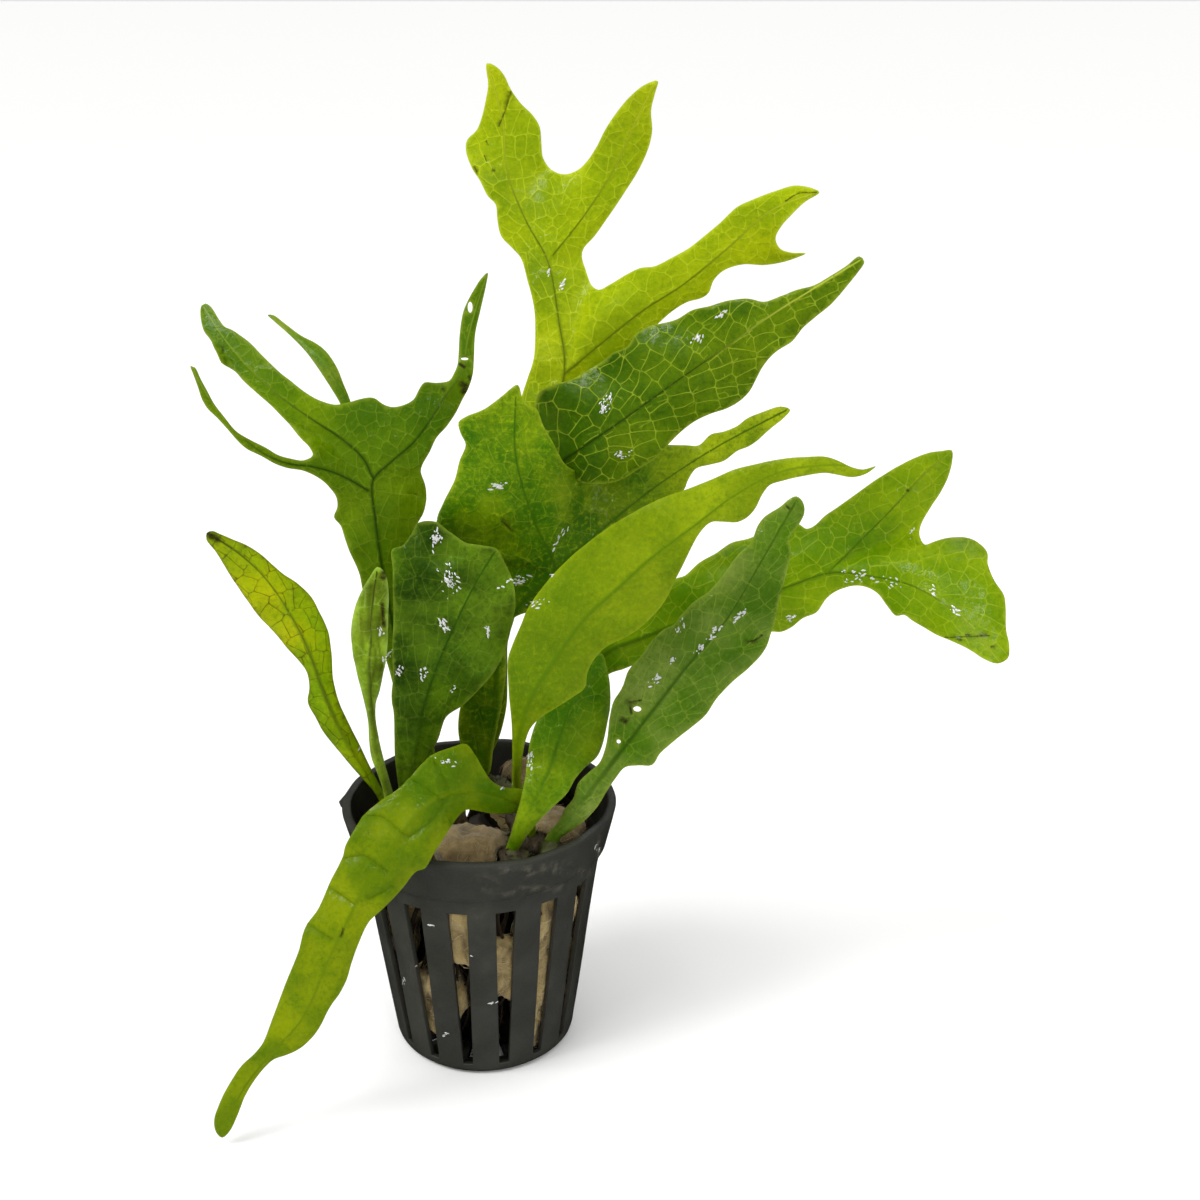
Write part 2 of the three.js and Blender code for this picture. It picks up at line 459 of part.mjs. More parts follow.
    outline: [
      [-15.7, 38.4], [-16.6, 42], [-17.6, 45], [-18.7, 48], [-19.1, 51], [-19.3, 54.5],
      [-20.1, 58.5], [-21.3, 63], [-22.2, 68], [-22.3, 72], [-21.6, 75.5], [-20.3, 78.6],
      [-19, 80.8], [-17.6, 82.6], [-16.2, 81.5], [-15.5, 78], [-15.6, 74], [-15.7, 70],
      [-16, 66], [-16.6, 63], [-17.2, 60], [-18, 57.5], [-17.9, 54], [-17.2, 50.5],
      [-16.5, 47.6], [-15.8, 45], [-14.9, 42], [-14.1, 38.4],
    ],
    ribs: [
      [[-14.9, 38.4, 0], [-15.9, 42.5, -1.5], [-17.4, 48, -3.5], [-18.6, 55, -5.5],
        [-19, 61, -7], [-18.9, 68, -8], [-18.4, 75, -8], [-17.6, 81.8, -7]],
    ],
  },
  {
    name: 'frond_left_fork', color: '#548400', tilt: -0.1, camber: 0.01, ruffle: 0.8, wave: 17,
    outline: [
      [-12.6, 41.5], [-13.3, 46], [-13.8, 52], [-14.2, 58], [-15.5, 64], [-17.6, 70],
      [-19.2, 75], [-20.3, 78.5], [-21, 81.5], [-22.4, 84.8], [-23.5, 88], [-24.3, 90.3],
      [-25.5, 91.8], [-24.9, 93.5], [-25.1, 95.3], [-26.2, 97], [-28.2, 98.8], [-31, 100.2],
      [-34, 100.7], [-36.3, 101.5], [-39, 103], [-41.5, 104.2], [-42.8, 105.3], [-45, 107.8],
      [-47, 110], [-48.5, 111.4], [-49.6, 113.2], [-50.4, 115.6], [-51.2, 117.8],
      [-51.7, 119.3], [-50.9, 119], [-49.8, 116.8], [-48.8, 115], [-47.4, 112.4],
      [-45.4, 109.8], [-43.4, 107.4], [-41, 105.9], [-38, 104.4], [-35.6, 103],
      [-33.4, 102.4], [-31, 102.1], [-29.3, 103.1], [-30, 104.6], [-32, 106.6], [-34, 109],
      [-37, 112], [-39.5, 114.2], [-42, 116.5], [-43.5, 118.3], [-46, 120], [-47, 122],
      [-48, 124.2], [-49.2, 125.8], [-49.8, 128], [-49.7, 130.3], [-49, 130.7],
      [-48, 130.1], [-46.5, 127.8], [-45.5, 126.5], [-44, 125.8], [-41, 123.5],
      [-38.5, 121], [-36, 118.7], [-33, 116.3], [-30.5, 114.3], [-28, 112.9],
      [-25.5, 112.2], [-23, 112.6], [-20.5, 113.3], [-18.3, 113.5], [-16.5, 112.4],
      [-15, 111.9], [-13, 112.2], [-11, 113.2], [-10, 115], [-9, 116.3], [-7, 116.2],
      [-4.5, 116.6], [-3.6, 118], [-3, 119.5], [-2.8, 121.5], [-2.6, 125], [-2, 129],
      [-1.2, 131], [0, 133.2], [1.3, 135.2], [2.5, 136.3], [2.2, 134], [1.2, 129.5],
      [0.2, 125], [0, 121], [-0.2, 118], [-1, 115.3], [-2.3, 112.8], [-3.3, 110.8],
      [-5, 108.3], [-6.8, 106.3], [-8, 103.8], [-9.4, 101.3], [-9.7, 100], [-8.9, 97.5],
      [-8.7, 95], [-9.2, 92.5], [-10.3, 90.5], [-11.5, 87], [-12.3, 82], [-12.4, 75],
      [-12, 68], [-11.6, 60], [-11.4, 52], [-11.2, 46], [-10.6, 41.5],
    ],
    ribs: [
      [[-11.6, 41.5, 6.5], [-12.2, 46, 6], [-12.6, 52, 5.5], [-13, 60, 5], [-14.6, 71, 4],
        [-16.8, 83, 3], [-18, 92, 2.5], [-18.4, 98.5, 2], [-15, 102, 2.5], [-11, 105.5, 3.5],
        [-8, 109.5, 5], [-5.5, 113.5, 7], [-2.2, 118.5, 9.5], [-1.2, 124, 12], [0.1, 129, 14],
        [2.2, 135.6, 15]],
      [[-18.4, 99, 2], [-20.2, 102.5, 2], [-24, 106, 2], [-29, 109.3, 2.5], [-35, 113.5, 4],
        [-41, 119, 7], [-46, 125, 11], [-49.2, 130, 15]],
      [[-19, 96.5, 2], [-24, 99.3, 0.5], [-29, 100.9, -3], [-34, 101.6, -7], [-39, 103.8, -11],
        [-45, 109, -15.5], [-49, 114.5, -18], [-51.3, 118.8, -19]],
    ],
  },
  {
    name: 'frond_back_narrow', color: '#5d8a08', tilt: -0.5, camber: 0.02, ruffle: 0.3, wave: 14,
    outline: [
      [-8.4, 43], [-10.2, 55], [-12.7, 68], [-16.2, 82], [-19.8, 95], [-22.5, 106],
      [-24.2, 112], [-26, 115.2], [-28.5, 119], [-31, 122.3], [-34, 125.3], [-36.5, 127.5],
      [-37.6, 128.6], [-36.5, 128.5], [-34.5, 127], [-31.5, 124.8], [-29, 123.5],
      [-27, 122], [-25, 119], [-23.8, 116], [-22.6, 113], [-20.7, 106], [-17.6, 95],
      [-14.1, 82], [-10.7, 68], [-8.4, 55], [-6.6, 43],
    ],
    ribs: [
      [[-7.5, 43, 9.5], [-9.3, 55, 10], [-11.7, 68, 11], [-15.1, 82, 12], [-18.7, 95, 13],
        [-21.6, 106, 15.5], [-23.6, 113, 18], [-27, 119.5, 21], [-31.5, 123.6, 25],
        [-37.2, 128.3, 30]],
    ],
  },
  {
    name: 'frond_glossy_broad', color: '#2f5a00', tilt: 0.1, camber: 0.015, ruffle: 0.8, wave: 15,
    outline: [
      [-12.9, 39], [-13.8, 43], [-14.4, 48], [-14.5, 52], [-14.6, 56], [-15, 59], [-14.7, 63],
      [-14.8, 68], [-14.7, 73], [-14.7, 78], [-14.8, 82], [-14.9, 85.8], [-13, 86.6],
      [-11.3, 88.8], [-10, 90.9], [-7, 91], [-4.5, 89], [-1.5, 87], [1.5, 86.6],
      [4.2, 85.9], [5.7, 83], [7.2, 79.5], [7.6, 76], [7, 72.5], [5.9, 68], [4, 64],
      [1, 60.5], [-2, 57.5], [-5, 55.4], [-5.8, 53.5], [-6.4, 51.5], [-8.2, 48],
      [-9.4, 45.5], [-10.3, 42.5], [-11, 39],
    ],
    ribs: [
      [[-12, 39, 1.5], [-11.5, 43.5, -1], [-10.9, 48, -4], [-9.9, 53, -7], [-8.7, 58.5, -9.5],
        [-6.5, 65, -12], [-3, 73, -14], [0.5, 80, -15], [3.8, 85.4, -15]],
    ],
  },
];

// Smooth rib as short straight pieces
function smoothRib(points) {
  const curve = new THREE.CatmullRomCurve3(points.map((point) => new THREE.Vector3(...point)));
  return curve.getSpacedPoints(Math.ceil(curve.getLength() / 2));
}

// Outline points stay, and long stretches between them get more points on the smooth curve
function smoothOutline(points, step) {
  const curve = new THREE.CatmullRomCurve3(
    points.map(([across, up]) => new THREE.Vector3(across, up, 0)), true, 'centripetal');
  const outline = [];
  points.forEach(([across, up], index) => {
    const [nextAcross, nextUp] = points[(index + 1) % points.length];
    const pieces = Math.max(1, Math.round(Math.hypot(nextAcross - across, nextUp - up) / step));
    for (let piece = 0; piece < pieces; piece += 1) {
      const point = curve.getPoint((index + piece / pieces) / points.length);
      outline.push([point.x, point.y]);
    }
  });
  return outline;
}

// Closest place on a rib: distance, side (+1 left of the way it grows), length from its start, depth
function nearestOnRib(rib, across, up) {
  const best = { distance: Infinity, side: 1, along: 0, depth: 0 };
  let along = 0;
  for (let index = 0; index + 1 < rib.length; index += 1) {
    const start = rib[index];
    const stepX = rib[index + 1].x - start.x;
    const stepY = rib[index + 1].y - start.y;
    const length = Math.hypot(stepX, stepY);
    const reach = ((across - start.x) * stepX + (up - start.y) * stepY) / length ** 2;
    const share = THREE.MathUtils.clamp(reach, 0, 1);
    const offX = across - start.x - share * stepX;
    const offY = up - start.y - share * stepY;
    const distance = Math.hypot(offX, offY);
    if (distance < best.distance) {
      best.distance = distance;
      best.side = stepX * offY - stepY * offX >= 0 ? 1 : -1;
      best.along = along + share * length;
      best.depth = start.z + share * (rib[index + 1].z - start.z);
    }
    along += length;
  }
  return best;
}

function bladeDepth(frond, ribs, across, up) {
  let weights = 0;
  let depths = 0;
  ribs.forEach((rib) => {
    const near = nearestOnRib(rib, across, up);
    const weight = 1 / (near.distance ** 2 + 0.4) ** 2;
    const outward = Math.min(1, (near.distance / RUFFLE_REACH) ** 2);
    const turn = 2 * Math.PI * near.along / frond.wave + near.side * RUFFLE_SHIFT;
    const depth = near.depth
      + frond.tilt * near.side * near.distance
      + frond.camber * near.distance ** 2
      + frond.ruffle * outward * Math.sin(turn);
    weights += weight;
    depths += weight * depth;
  });
  return depths / weights;
}

function bladeThickness(ribs, across, up) {
  const nearest = ribs.map((rib) => nearestOnRib(rib, across, up));
  const closest = Math.min(...nearest.map((near) => near.distance));
  const rib = RIB_EXTRA * Math.exp(-((closest / RIB_SPREAD) ** 2));
  const nearFoot = Math.max(0, 1 - nearest[0].along / STALK_FADE);
  const stalk = nearFoot * Math.exp(-((closest / STALK_SPREAD) ** 2));
  return THREE.MathUtils.lerp(BLADE_THICK + rib, STALK_THICK, stalk);
}

function pointInside(outline, x, y) {
  let inside = false;
  for (let i = 0, j = outline.length - 1; i < outline.length; j = i, i += 1) {
    const [x1, y1] = outline[i];
    const [x2, y2] = outline[j];
    if ((y1 > y) !== (y2 > y) && x < (x2 - x1) * (y - y1) / (y2 - y1) + x1) inside = !inside;
  }
  return inside;
}

function distanceToOutline(outline, x, y) {
  let best = Infinity;
  outline.forEach(([x1, y1], index) => {
    const [x2, y2] = outline[(index + 1) % outline.length];
    const length = (x2 - x1) ** 2 + (y2 - y1) ** 2;
    const share = THREE.MathUtils.clamp(((x - x1) * (x2 - x1) + (y - y1) * (y2 - y1)) / length, 0, 1);
    best = Math.min(best, Math.hypot(x - x1 - share * (x2 - x1), y - y1 - share * (y2 - y1)));
  });
  return best;
}

// Triangles with no other point inside the circle through their corners
function evenTriangles(points) {
  const far = 5000;
  const all = [...points, [-far, -far], [far, -far], [0, far]];
  const count = points.length;
  let triangles = [roundCorner(all, count, count + 1, count + 2)];
  for (let index = 0; index < count; index += 1) {
    const [x, y] = all[index];
    const open = new Map();
    const kept = [];
    triangles.forEach((triangle) => {
      if ((x - triangle.x) ** 2 + (y - triangle.y) ** 2 >= triangle.reach) {
        kept.push(triangle);
        return;
      }
      const [a, b, c] = triangle.corners;
      [[a, b], [b, c], [c, a]].forEach(([from, to]) => {
        if (open.has(`${to},${from}`)) open.delete(`${to},${from}`);
        else open.set(`${from},${to}`, [from, to]);
      });
    });
    open.forEach(([from, to]) => kept.push(roundCorner(all, from, to, index)));
    triangles = kept;
  }
  return triangles.map((triangle) => triangle.corners).filter((corners) => Math.max(...corners) < count);
}

function roundCorner(points, a, b, c) {
  const [ax, ay] = points[a];
  const bx = points[b][0] - ax;
  const by = points[b][1] - ay;
  const cx = points[c][0] - ax;
  const cy = points[c][1] - ay;
  const area = 2 * (bx * cy - by * cx);
  const x = (cy * (bx ** 2 + by ** 2) - by * (cx ** 2 + cy ** 2)) / area;
  const y = (bx * (cx ** 2 + cy ** 2) - cx * (bx ** 2 + by ** 2)) / area;
  return { corners: [a, b, c], x: ax + x, y: ay + y, reach: x ** 2 + y ** 2 };
}

// Points inside the outline: on the ribs and on a staggered grid, shifted a little so none line up
function innerPoints(outline, ribs) {
  const draw = makeDraw(7);
  const points = [];
  const clear = (x, y, edge, other) => pointInside(outline, x, y)
    && distanceToOutline(outline, x, y) > edge
    && points.every((point) => Math.hypot(point[0] - x, point[1] - y) > other);
  ribs.forEach((rib) => {
    const stride = Math.round(RIB_STEP / 2);
    for (let index = 1; index < rib.length; index += stride) {
      const { x, y } = rib[index];
      if (clear(x, y, EDGE_CLEAR * 0.7, EDGE_CLEAR)) points.push([x, y]);
    }
  });
  const lowX = Math.min(...outline.map((point) => point[0]));
  const highX = Math.max(...outline.map((point) => point[0]));
  const lowY = Math.min(...outline.map((point) => point[1]));
  const highY = Math.max(...outline.map((point) => point[1]));
  const rowStep = BLADE_STEP * Math.sqrt(3) / 2;
  for (let row = 0; lowY + row * rowStep < highY; row += 1) {
    for (let column = 0; lowX + column * BLADE_STEP < highX + BLADE_STEP; column += 1) {
      const x = lowX + (column - (row % 2) / 2) * BLADE_STEP + 0.2 * (draw() - 0.5);
      const y = lowY + row * rowStep + 0.2 * (draw() - 0.5);
      if (clear(x, y, EDGE_CLEAR, BLADE_STEP * 0.62)) points.push([x, y]);
    }
  }
  return points;
}

// Adds a point to each outline stretch that no triangle runs along, until every stretch is kept
function trianglesInside(outline, inner) {
  let edge = outline;
  for (;;) {
    const points = [...edge, ...inner];
    const triangles = evenTriangles(points);
    const used = new Set(triangles.flatMap(([a, b, c]) => [`${a},${b}`, `${b},${c}`, `${c},${a}`]));
    const next = [];
    edge.forEach((point, index) => {
      const other = (index + 1) % edge.length;
      next.push(point);
      if (!used.has(`${index},${other}`) && !used.has(`${other},${index}`)) {
        next.push([(point[0] + edge[other][0]) / 2, (point[1] + edge[other][1]) / 2]);
      }
    });
    if (next.length === edge.length) {
      const kept = triangles.filter((corners) => {
        const x = (points[corners[0]][0] + points[corners[1]][0] + points[corners[2]][0]) / 3;
        const y = (points[corners[0]][1] + points[corners[1]][1] + points[corners[2]][1]) / 3;
        return pointInside(edge, x, y);
      });
      return { points, triangles: kept };
    }
    edge = next;
  }
}

// Where the sight line through a board point meets a given depth
function onSightLine(across, up, depth) {
  const board = EYE.clone()
    .addScaledVector(BOARD_FORWARD, BOARD_DISTANCE)
    .addScaledVector(BOARD_UP, up - BOARD_RISE);
  board.x = across;
  return EYE.clone().lerp(board, (depth - EYE.y) / (board.y - EYE.y));
}

// Blade as a closed solid, with the same triangles on its front and its back
function frondSolid(frond) {
  const ribs = frond.ribs.map(smoothRib);
  const outline = smoothOutline(frond.outline, OUTLINE_STEP);
  const { points, triangles } = trianglesInside(outline, innerPoints(outline, ribs));
  const middle = points.map(([across, up]) => (
    onSightLine(across, up, bladeDepth(frond, ribs, across, up))));
  const facing = middle.map(() => new THREE.Vector3());
  const turnedRight = triangles.map(([a, b, c]) => {
    const [ax, ay] = points[a];
    const area = (points[b][0] - ax) * (points[c][1] - ay) - (points[b][1] - ay) * (points[c][0] - ax);
    return area > 0 ? [a, b, c] : [a, c, b];
  });
  turnedRight.forEach(([a, b, c]) => {
    const normal = middle[b].clone().sub(middle[a]).cross(middle[c].clone().sub(middle[a]));
    [a, b, c].forEach((corner) => facing[corner].add(normal));
  });
  const positions = [];
  [0.5, -0.5].forEach((share) => {
    middle.forEach((point, index) => {
      const thick = bladeThickness(ribs, points[index][0], points[index][1]);
      const place = point.clone().addScaledVector(facing[index].clone().normalize(), share * thick);
      positions.push(place.x, place.y, place.z);
    });
  });
  const back = middle.length;
  const faces = [];
  const open = new Map();
  turnedRight.forEach(([a, b, c]) => {
    faces.push(a, b, c, back + a, back + c, back + b);
    [[a, b], [b, c], [c, a]].forEach(([from, to]) => {
      if (open.has(`${to},${from}`)) open.delete(`${to},${from}`);
      else open.set(`${from},${to}`, [from, to]);
    });
  });
  open.forEach(([from, to]) => {
    faces.push(from, back + from, back + to, from, back + to, to);
  });
  return new wasm.Manifold(new wasm.Mesh({
    numProp: 3,
    vertProperties: new Float32Array(positions),
    triVerts: new Uint32Array(faces),
  }));
}

function knobAt(place, radius) {
  const knob = bareBall(0);
  knob.scale(radius, radius, radius);
  knob.translate(...place);
  return toSolid(knob);
}

// Creeping stem with a knob under each stalk and its roots, grown by a margin where it cuts others
function creepingStem(grow) {
  let stem = rod(STEM_MAIN, STEM_RADIUS + grow, 7, 14);
  stem = stem.add(rod(STEM_BRANCH, STEM_RADIUS * 0.85 + grow, 7, 4));
  [STEM_MAIN[0], STEM_MAIN.at(-1)].forEach((end) => {
    stem = stem.add(knobAt(end, (STEM_RADIUS + grow) * 1.3));
  });
  FRONDS.forEach((frond) => {
    const [across, up, depth] = frond.ribs[0][0];
    const foot = onSightLine(across, up, depth);
    stem = stem.add(knobAt([foot.x, foot.y, foot.z - KNOB_DROP], KNOB_RADIUS + grow));
  });
  ROOTS.forEach((root) => {
    stem = stem.add(rod(root, ROOT_RADIUS + grow, 4, 5));
    stem = stem.add(knobAt(root.at(-1), (ROOT_RADIUS + grow) * 1.5));
  });
  return stem;
}

addPiece('net_pot', toGeometry(netPot()), POT_GREY, 0.55);

const stemRoom = creepingStem(STEM_GAP);
addPiece('creeping_stem', toGeometry(creepingStem(0)), STEM_BROWN, 0.8);

const room = potRoom();
const rootBall = tornLump(ROOT_BALL, 0).intersect(room).subtract(stemRoom);
addPiece('root_ball', toGeometry(rootBall), ROOT_BROWN, 0.95);

let filled = stemRoom.add(tornLump(ROOT_BALL, GAP));
WOOL_LUMPS.forEach((lump) => {
  const wad = tornLump(lump, 0).intersect(room).subtract(filled);
  const pieces = wad.decompose().sort((one, other) => other.volume() - one.volume());
  addPiece(lump.name, toGeometry(pieces[0]), WOOL_TAN, 0.95);
  filled = filled.add(tornLump(lump, GAP));
});

FRONDS.forEach((frond) => {
  addPiece(frond.name, toGeometry(frondSolid(frond).subtract(stemRoom)), frond.color, 0.35);
});

export default group;
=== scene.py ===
import math
import random

import bpy
import numpy as np
from mathutils import Euler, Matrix, Vector, kdtree, noise
from mathutils.bvhtree import BVHTree
from mathutils.geometry import delaunay_2d_cdt


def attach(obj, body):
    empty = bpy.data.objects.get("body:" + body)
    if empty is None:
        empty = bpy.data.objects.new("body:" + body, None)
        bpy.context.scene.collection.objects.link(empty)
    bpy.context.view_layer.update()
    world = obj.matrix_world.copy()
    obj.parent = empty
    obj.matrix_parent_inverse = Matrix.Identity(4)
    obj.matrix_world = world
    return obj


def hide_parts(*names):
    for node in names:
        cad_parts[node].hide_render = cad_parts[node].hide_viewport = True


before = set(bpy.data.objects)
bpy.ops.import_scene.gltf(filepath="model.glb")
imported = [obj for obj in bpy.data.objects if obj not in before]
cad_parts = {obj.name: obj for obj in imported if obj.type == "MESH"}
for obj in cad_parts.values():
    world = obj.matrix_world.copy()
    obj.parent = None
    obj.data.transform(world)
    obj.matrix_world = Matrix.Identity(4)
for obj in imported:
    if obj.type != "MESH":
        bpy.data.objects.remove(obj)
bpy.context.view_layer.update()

MM = 0.001

# Camera: where the photograph was taken from
EYE = np.array([23.0, -273.0, 194.0])
LOOK_DOWN = math.radians(20.7)
LENS = 48
SENSOR = 36
NEAREST = 0.01
FARTHEST = 200

# The leaning board that the fronds are drawn on, as it looks from EYE, in millimetres
BOARD_DISTANCE = 291.9
BOARD_RISE = 76.6
BOARD_UP = np.array([0, math.sin(LOOK_DOWN), math.cos(LOOK_DOWN)])
BOARD_FORWARD = np.array([0, math.cos(LOOK_DOWN), -math.sin(LOOK_DOWN)])

# Net pot, a standard 52 mm size
POT_HEIGHT = 50.5
RIM_RADIUS = 26
RIM_WALL = 1.8
RIM_ROUND = 0.5
COLLAR_FOOT = 41.9
COLLAR_FOOT_RADIUS = 24.2
BODY_TOP_RADIUS = 23.2
BODY_FOOT_RADIUS = 17.4
BODY_WALL = 1.1
FOOT_ROUND = 1.6
FLOOR_THICK = 1.4
SLOT_COUNT = 16
SLOT_TOP = 38.6
SLOT_BOTTOM = 2.4
SLOT_TOP_WIDTH = 3.7
SLOT_BOTTOM_WIDTH = 1.9
FIRST_SLOT_TURN = math.radians(-7.3)
FLOOR_SLOT_START = 8.5
FLOOR_SLOT_END = 14
FLOOR_SLOT_WIDTH = 1.8
POT_HUB = 2.5
POT_STEP = 1
SLOT_CELLS = 4
BAR_CELLS = 12
POT_EDGE = 0.2
POT_WARP = 0.25
WARP_ROUND = 1.7
WARP_UP = 0.05
RIM_WAVE = 0.5
RIM_WAVES = 2.4
NUB_TURN = math.radians(-92)
NUB_HEIGHT = 48.6
NUB_WIDE = 1.1
NUB_LONG = 1.6

# Water marks and silt on the pot's front: across and up on the board, half sizes and strength
POT_SMEARS = [
    [2.2, 25, 2.6, 2.2, 0.35], [6.2, 27.4, 1.8, 0.6, 0.9], [9.8, 27.2, 1.6, 1.0, 1],
    [15, 27.6, 3.4, 1.3, 0.9], [6, 22.9, 3.4, 0.5, 0.9], [12.4, 24.2, 4.6, 0.5, 0.9],
    [19.6, 27, 2.6, 0.6, 0.7], [22.8, 31.4, 0.5, 2.2, 1], [2, 13, 6, 9, 0.1], [-8, 6, 5, 6, 0.12],
]

# Wool, roots and stem. Noise layers are size, height and stretch along each axis, in millimetres.
WOOL_CELL = 0.4
WOOL_INSET = -0.05
WOOL_LAYERS = [(3.4, 0.75, (1, 1, 0.7)), (1.3, 0.4, (1, 1, 0.5)), (0.6, 0.16, (1, 1, 0.6))]
WOOL_FIBRES = 0.035
FIBRE_LONG = (1.2, 3.6)
FIBRE_THICK = (0.03, 0.06)
FIBRE_BEND = 0.9
FIBRE_SAG = 0.25
FIBRE_POINTS = 6
ROOT_CELL = 0.6
ROOT_INSET = -0.3
ROOT_LAYERS = [(3, 1.2, (1, 1, 0.4)), (1, 0.5, (1, 1, 0.5))]
ROOT_COUNT = 90
BACK_ROOTS = 60
ROOT_TOP = (34, 46)
ROOT_FOOT = (3.5, 16)
ROOT_IN = (1.4, 4.5)
ROOT_THICK = (0.22, 0.5)
STEM_CELL = 0.42
STEM_INSET = -0.1
STEM_LAYERS = [(1.6, 0.35, (1, 1, 1)), (0.6, 0.16, (1, 1, 1))]
STEM_SCALES = 700
SCALE_LONG = (0.5, 1.5)
SCALE_THICK = [0.13, 0.09, 0.02]

# Water drops lie in clusters: across and up on the board, reach, turn in degrees, number of drops
DROP_SIDES = 10
DROP_RINGS = 5
DROP_FLAT = 0.3
DROP_WIDE = (0.07, 0.2)
DROP_LONG = (1, 3.4)
CLUSTER_LONG = 0.5
CLUSTER_WIDE = 0.22
WET_SPOTS = [
    [24, 112, 2.6, 70, 29], [27, 103, 2, 10, 16], [45, 128.6, 1.2, 40, 13], [41, 124.8, 1.6, 70, 14],
    [16, 134, 1.2, 60, 9], [13.6, 136.4, 1, 80, 7], [4, 97.4, 1.6, 10, 18], [-7, 88, 2.2, 80, 29],
    [-4.6, 80.4, 3.4, -58, 47], [-5.6, 72.4, 2, 120, 25], [2.6, 71.2, 1.2, 100, 11],
    [-13.6, 63.4, 1.5, 90, 14], [-9.2, 63.2, 1.4, 90, 13], [-4, 60.4, 0.9, 60, 5], [8, 80.2, 2.4, 10, 22],
    [11.4, 76, 2, 20, 13], [14.2, 81, 0.8, 0, 5], [15.4, 87.6, 2.4, 55, 11], [36, 65.4, 1, 40, 9],
    [33, 62, 1.4, 50, 14], [41, 67.5, 1.2, 50, 11], [44, 71, 1.8, 50, 16], [48.6, 74, 1.8, 40, 18],
    [38, 72, 1.6, 60, 9], [10, 47.4, 1.6, 80, 18], [-5, 47, 1.4, -20, 13], [5.8, 43, 1.4, 20, 11],
    [70, 80.9, 3.4, 0, 25], [76, 80, 2, -30, 9], [58, 73.5, 1.2, 30, 7], [88, 74.5, 1.6, -40, 9],
    [80, 89, 1.2, 60, 5], [84, 78, 1.8, -20, 7], [-20.6, 51, 1.6, 70, 9], [-17, 71, 1.6, 90, 11],
    [-16, 66, 1.4, 60, 9], [-7.8, 17.3, 0.5, 0, 5], [-0.6, 11.7, 0.2, 0, 2], [-10.8, 9.8, 0.3, 0, 2],
    [3.4, 3, 0.5, 20, 4], [-2.2, -1.8, 0.3, 0, 2], [-4.9, -2.5, 0.6, 20, 5], [-12.8, 6.8, 0.8, 80, 4],
    [12.6, 14, 0.2, 0, 2], [22.5, 31, 1.4, 80, 7],
]

# Frond blades
BLADE_THICK = 0.5
RIB_EXTRA = 0.55
RIB_SPREAD = 0.9
STALK_THICK = 1.8
STALK_FADE = 26
STALK_SPREAD = 1.6
EDGE_THICK = 0.16
EDGE_ROUND = 1.0
RUFFLE_REACH = 7
RUFFLE_SHIFT = 1.3
RIB_BLEND = 0.4
RIB_HALF = 0.3
CREASE_HALF = 0.6
CREASE_DEEP = 0.5

# Hollows and swellings of a blade: their size in millimetres and share of the frond's waves. They fade
# out towards a rib, and show in the colour by this much, as painted shade in hollows and painted highlight
# on swellings.
UNEVEN = [(7, 1.0), (3, 0.35)]
UNEVEN_FADE = 3
UNEVEN_SHOWS = 2.2

# Net of veins: its cells along a rib and away from it, how unevenly they lie, its free vein ends, and
# the raised line itself. The blade swells between the veins.
VEIN_ROW = 2.9
VEIN_CELL = 6.4
VEIN_CELLS = 12
VEIN_FIRST = 0.3
VEIN_LEAN = math.radians(50)
VEIN_SPREAD = (0.94, 1.06)
VEIN_OFF = 0.35
VEIN_APART = 2
VEIN_LONGEST = 3
VEIN_STRONG = (0.6, 1)
VEIN_FREE = 0.22
FREE_LONG = (0.4, 0.8)
FREE_STRONG = (0.3, 0.5)
VEIN_WANDER = 0.6
VEIN_WANDER_SIZE = 3.6
WANDER_LAYERS = (-5.5, 34.1)
VEIN_STEP = 0.45
VEIN_FINE = 3
VEIN_HALF = 0.14
VEIN_HEIGHT = 0.07
VEIN_SHALLOW = 0.6
PUFF_REACH = 1.5
PUFF_ROUND = 1.5

# Points of a blade's mesh: how far apart they are made, how far they stay from the edge or the ribs,
# how close two of them may come, and how near a line's point counts as on the line
BLADE_STEP = 0.85
EDGE_STEP = 0.6
RIB_STEP = 0.5
MARK_STEP = 0.25
BESIDE_RIB = (-0.62, -0.25, 0.25, 0.62)
VEIN_CLEAR = 0.35
BESIDE_CLEAR = 0.25
RIB_CLEAR = 0.3
CLOSE_LINE = 0.2
CLOSE_MARK = 0.12
CLOSE_GRID = 0.5
LINE_SNAP = 0.2
HOLE_TURN = math.pi / 7

# Where the random draws of each kind of piece start
FROND_DRAW = 100
WOOL_DRAW = 300
ROOT_DRAW = 41
STEM_DRAW = 52
WATER_DRAW = 63

# Light: an even room, a soft window as a sun, and lamps as name, place, size in metres and watts
ROOM_BRIGHT = 0.78
WINDOW_TOWARDS = (0.62, 0.3, -0.72)
WINDOW_SOFT = math.radians(24)
WINDOW_BRIGHT = 1.35
FLOOR_HALF = 60
LAMPS_AIM = (0.02, 0, 0.08)
LAMPS = [
    ("top_light", (-0.25, -0.3, 0.8), 0.3, 1.6),
    ("glint_light", (0.3, -0.75, 0.6), 0.12, 0.8),
    ("right_light", (0.75, -0.25, 0.45), 0.3, 0.5),
    ("back_light", (0.1, 0.7, 0.6), 0.5, 0.5),
]

# Sockets of a colour mix node, and the brown of a dead spot
MIX_SHARE = 0
MIX_FIRST = 6
MIX_SECOND = 7
MIX_RESULT = 2
DEAD_BROWN = "#2a2208"

